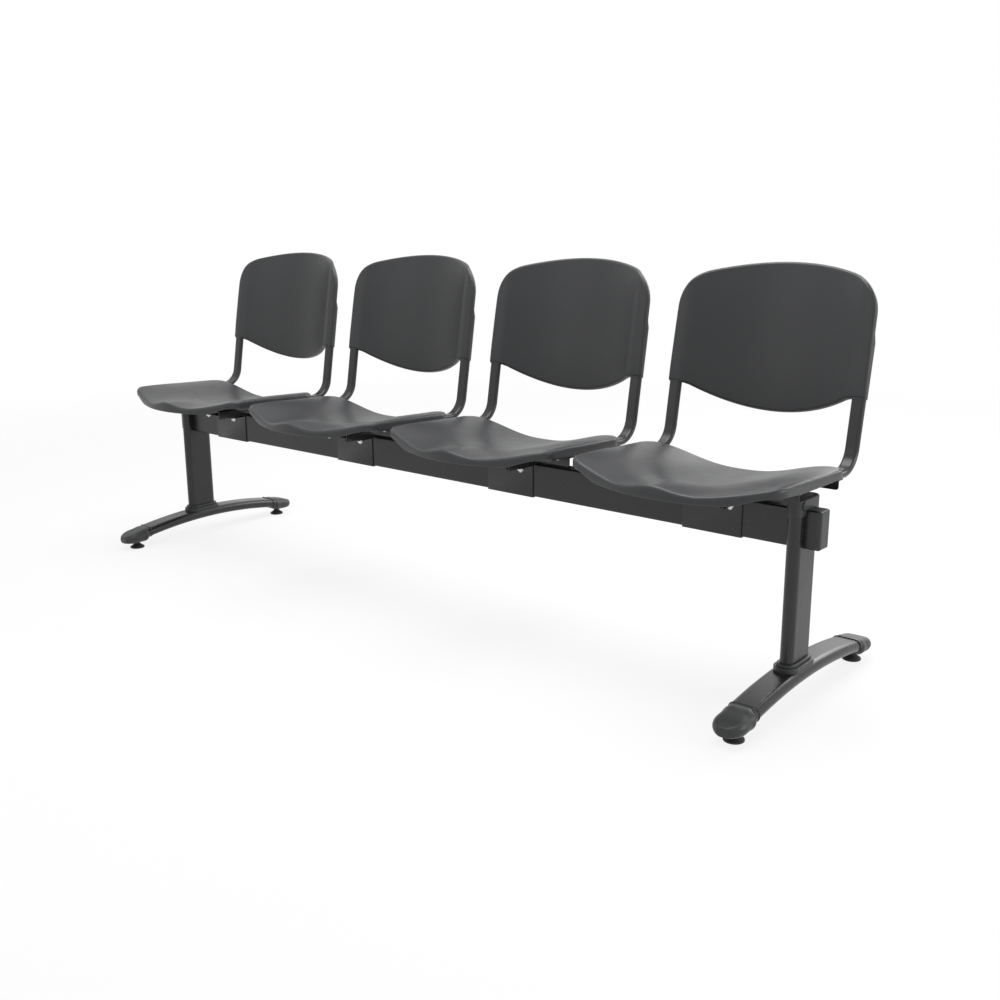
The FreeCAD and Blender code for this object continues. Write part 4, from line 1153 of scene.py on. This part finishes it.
class BENCH_OT_stage(bpy.types.Operator):
    """Set the pale floor, the white surround, the lamps and the camera"""

    bl_idname = "bench.stage"
    bl_label = "Stage"

    def execute(self, context):
        self.floor()
        self.surround(context.scene)
        for name, (position, target, size, energy) in LAMPS.items():
            self.lamp(name, position, target, size, energy)
        self.camera(context.scene)
        context.scene.view_settings.view_transform = "Standard"
        return {"FINISHED"}

    def floor(self):
        half = FLOOR_HALF
        mesh = bpy.data.meshes.new("floor")
        corners = [(-half, -half, 0), (half, -half, 0), (half, half, 0), (-half, half, 0)]
        mesh.from_pydata(corners, [], [(0, 1, 2, 3)])
        plane = bpy.data.objects.new("floor", mesh)
        put_in(plane)
        material = bpy.data.materials.new("pale floor")
        material.use_nodes = True
        tree = material.node_tree
        tree.nodes.remove(tree.nodes["Principled BSDF"])
        cloth = add_node(tree, "ShaderNodeBsdfDiffuse", None, {"Color": (*colours().floor, 1)})
        glow = add_node(tree, "ShaderNodeEmission", None, {"Color": WHITE, "Strength": 1.0})
        place = tree.nodes.new("ShaderNodeTexCoord")
        away = add_node(tree, "ShaderNodeVectorMath", {0: place.outputs["Object"]}, operation="LENGTH")
        fade = add_node(tree, "ShaderNodeMapRange", {"Value": away.outputs["Value"]},
                        {"From Min": GLOW_NEAR, "From Max": GLOW_FAR, "To Min": GLOW_LEAST})
        share = maths(tree, "MULTIPLY", self.seen_directly(tree), fade.outputs["Result"])
        mixed = add_node(tree, "ShaderNodeMixShader", {0: share, 1: cloth.outputs[0], 2: glow.outputs[0]})
        tree.links.new(mixed.outputs[0], tree.nodes["Material Output"].inputs["Surface"])
        mesh.materials.append(material)

    def surround(self, scene):
        world = bpy.data.worlds.new("surround")
        world.use_nodes = True
        tree = world.node_tree
        tree.nodes.clear()
        soft = add_node(tree, "ShaderNodeBackground", None, {"Color": WHITE, "Strength": SURROUND_LIGHT})
        white = add_node(tree, "ShaderNodeBackground", None, {"Color": WHITE, "Strength": 1.0})
        mixed = add_node(tree, "ShaderNodeMixShader",
                         {0: self.seen_directly(tree), 1: soft.outputs[0], 2: white.outputs[0]})
        output = tree.nodes.new("ShaderNodeOutputWorld")
        tree.links.new(mixed.outputs[0], output.inputs["Surface"])
        scene.world = world

    def seen_directly(self, tree):
        """1 for what the camera sees, straight or in a reflection, and 0 for light on surfaces."""
        path = tree.nodes.new("ShaderNodeLightPath")
        seen = maths(tree, "MAXIMUM", path.outputs["Is Camera Ray"], path.outputs["Is Glossy Ray"])
        return maths(tree, "MAXIMUM", seen, path.outputs["Is Transmission Ray"])

    def lamp(self, name, position, target, size, energy):
        data = bpy.data.lights.new(name, "AREA")
        data.size = size
        data.energy = energy
        lamp = bpy.data.objects.new(name, data)
        lamp.location = position
        aim = Vector(target) - Vector(position)
        lamp.rotation_euler = aim.to_track_quat("-Z", "Y").to_euler()
        put_in(lamp)

    def camera(self, scene):
        data = bpy.data.cameras.new("camera")
        data.lens = CAMERA_LENS
        data.sensor_width = CAMERA_SENSOR
        camera = bpy.data.objects.new("camera", data)
        camera.location = CAMERA_PLACE
        yaw = Matrix.Rotation(CAMERA_YAW, 4, "Z")
        pitch = Matrix.Rotation(CAMERA_PITCH, 4, "X")
        roll = Matrix.Rotation(CAMERA_ROLL, 4, "Z")
        camera.rotation_euler = (yaw @ pitch @ roll).to_euler()
        put_in(camera)
        scene.camera = camera


class BENCH_PT_sidebar(bpy.types.Panel):
    """The bench's pieces, sizes and colours."""

    bl_label = "Beam bench"
    bl_idname = "BENCH_PT_sidebar"
    bl_space_type = "VIEW_3D"
    bl_region_type = "UI"
    bl_category = "Beam bench"

    def draw(self, context):
        for group in (context.scene.bench_sizes, context.scene.bench_colours):
            box = self.layout.box()
            for name in group.bl_rna.properties.keys():
                if name not in ("rna_type", "name"):
                    box.prop(group, name)
        for operator in OPERATORS:
            self.layout.operator(operator.bl_idname)


OPERATORS = (BENCH_OT_finishes, BENCH_OT_seats, BENCH_OT_backs, BENCH_OT_pressings,
             BENCH_OT_tube_plugs, BENCH_OT_fasteners, BENCH_OT_levellers, BENCH_OT_stage)
CLASSES = (BenchSizes, BenchColours, *OPERATORS, BENCH_PT_sidebar)


def register():
    for item in CLASSES:
        bpy.utils.register_class(item)
    bpy.types.Scene.bench_sizes = bpy.props.PointerProperty(type=BenchSizes)
    bpy.types.Scene.bench_colours = bpy.props.PointerProperty(type=BenchColours)


def unregister():
    del bpy.types.Scene.bench_colours
    del bpy.types.Scene.bench_sizes
    for item in reversed(CLASSES):
        bpy.utils.unregister_class(item)


def main():
    register()
    bpy.ops.bench.finishes()
    bpy.ops.bench.seats()
    bpy.ops.bench.backs()
    bpy.ops.bench.pressings()
    bpy.ops.bench.tube_plugs()
    bpy.ops.bench.fasteners()
    bpy.ops.bench.levellers()
    bpy.ops.bench.stage()
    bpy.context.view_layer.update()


if __name__ == "__main__":
    main()
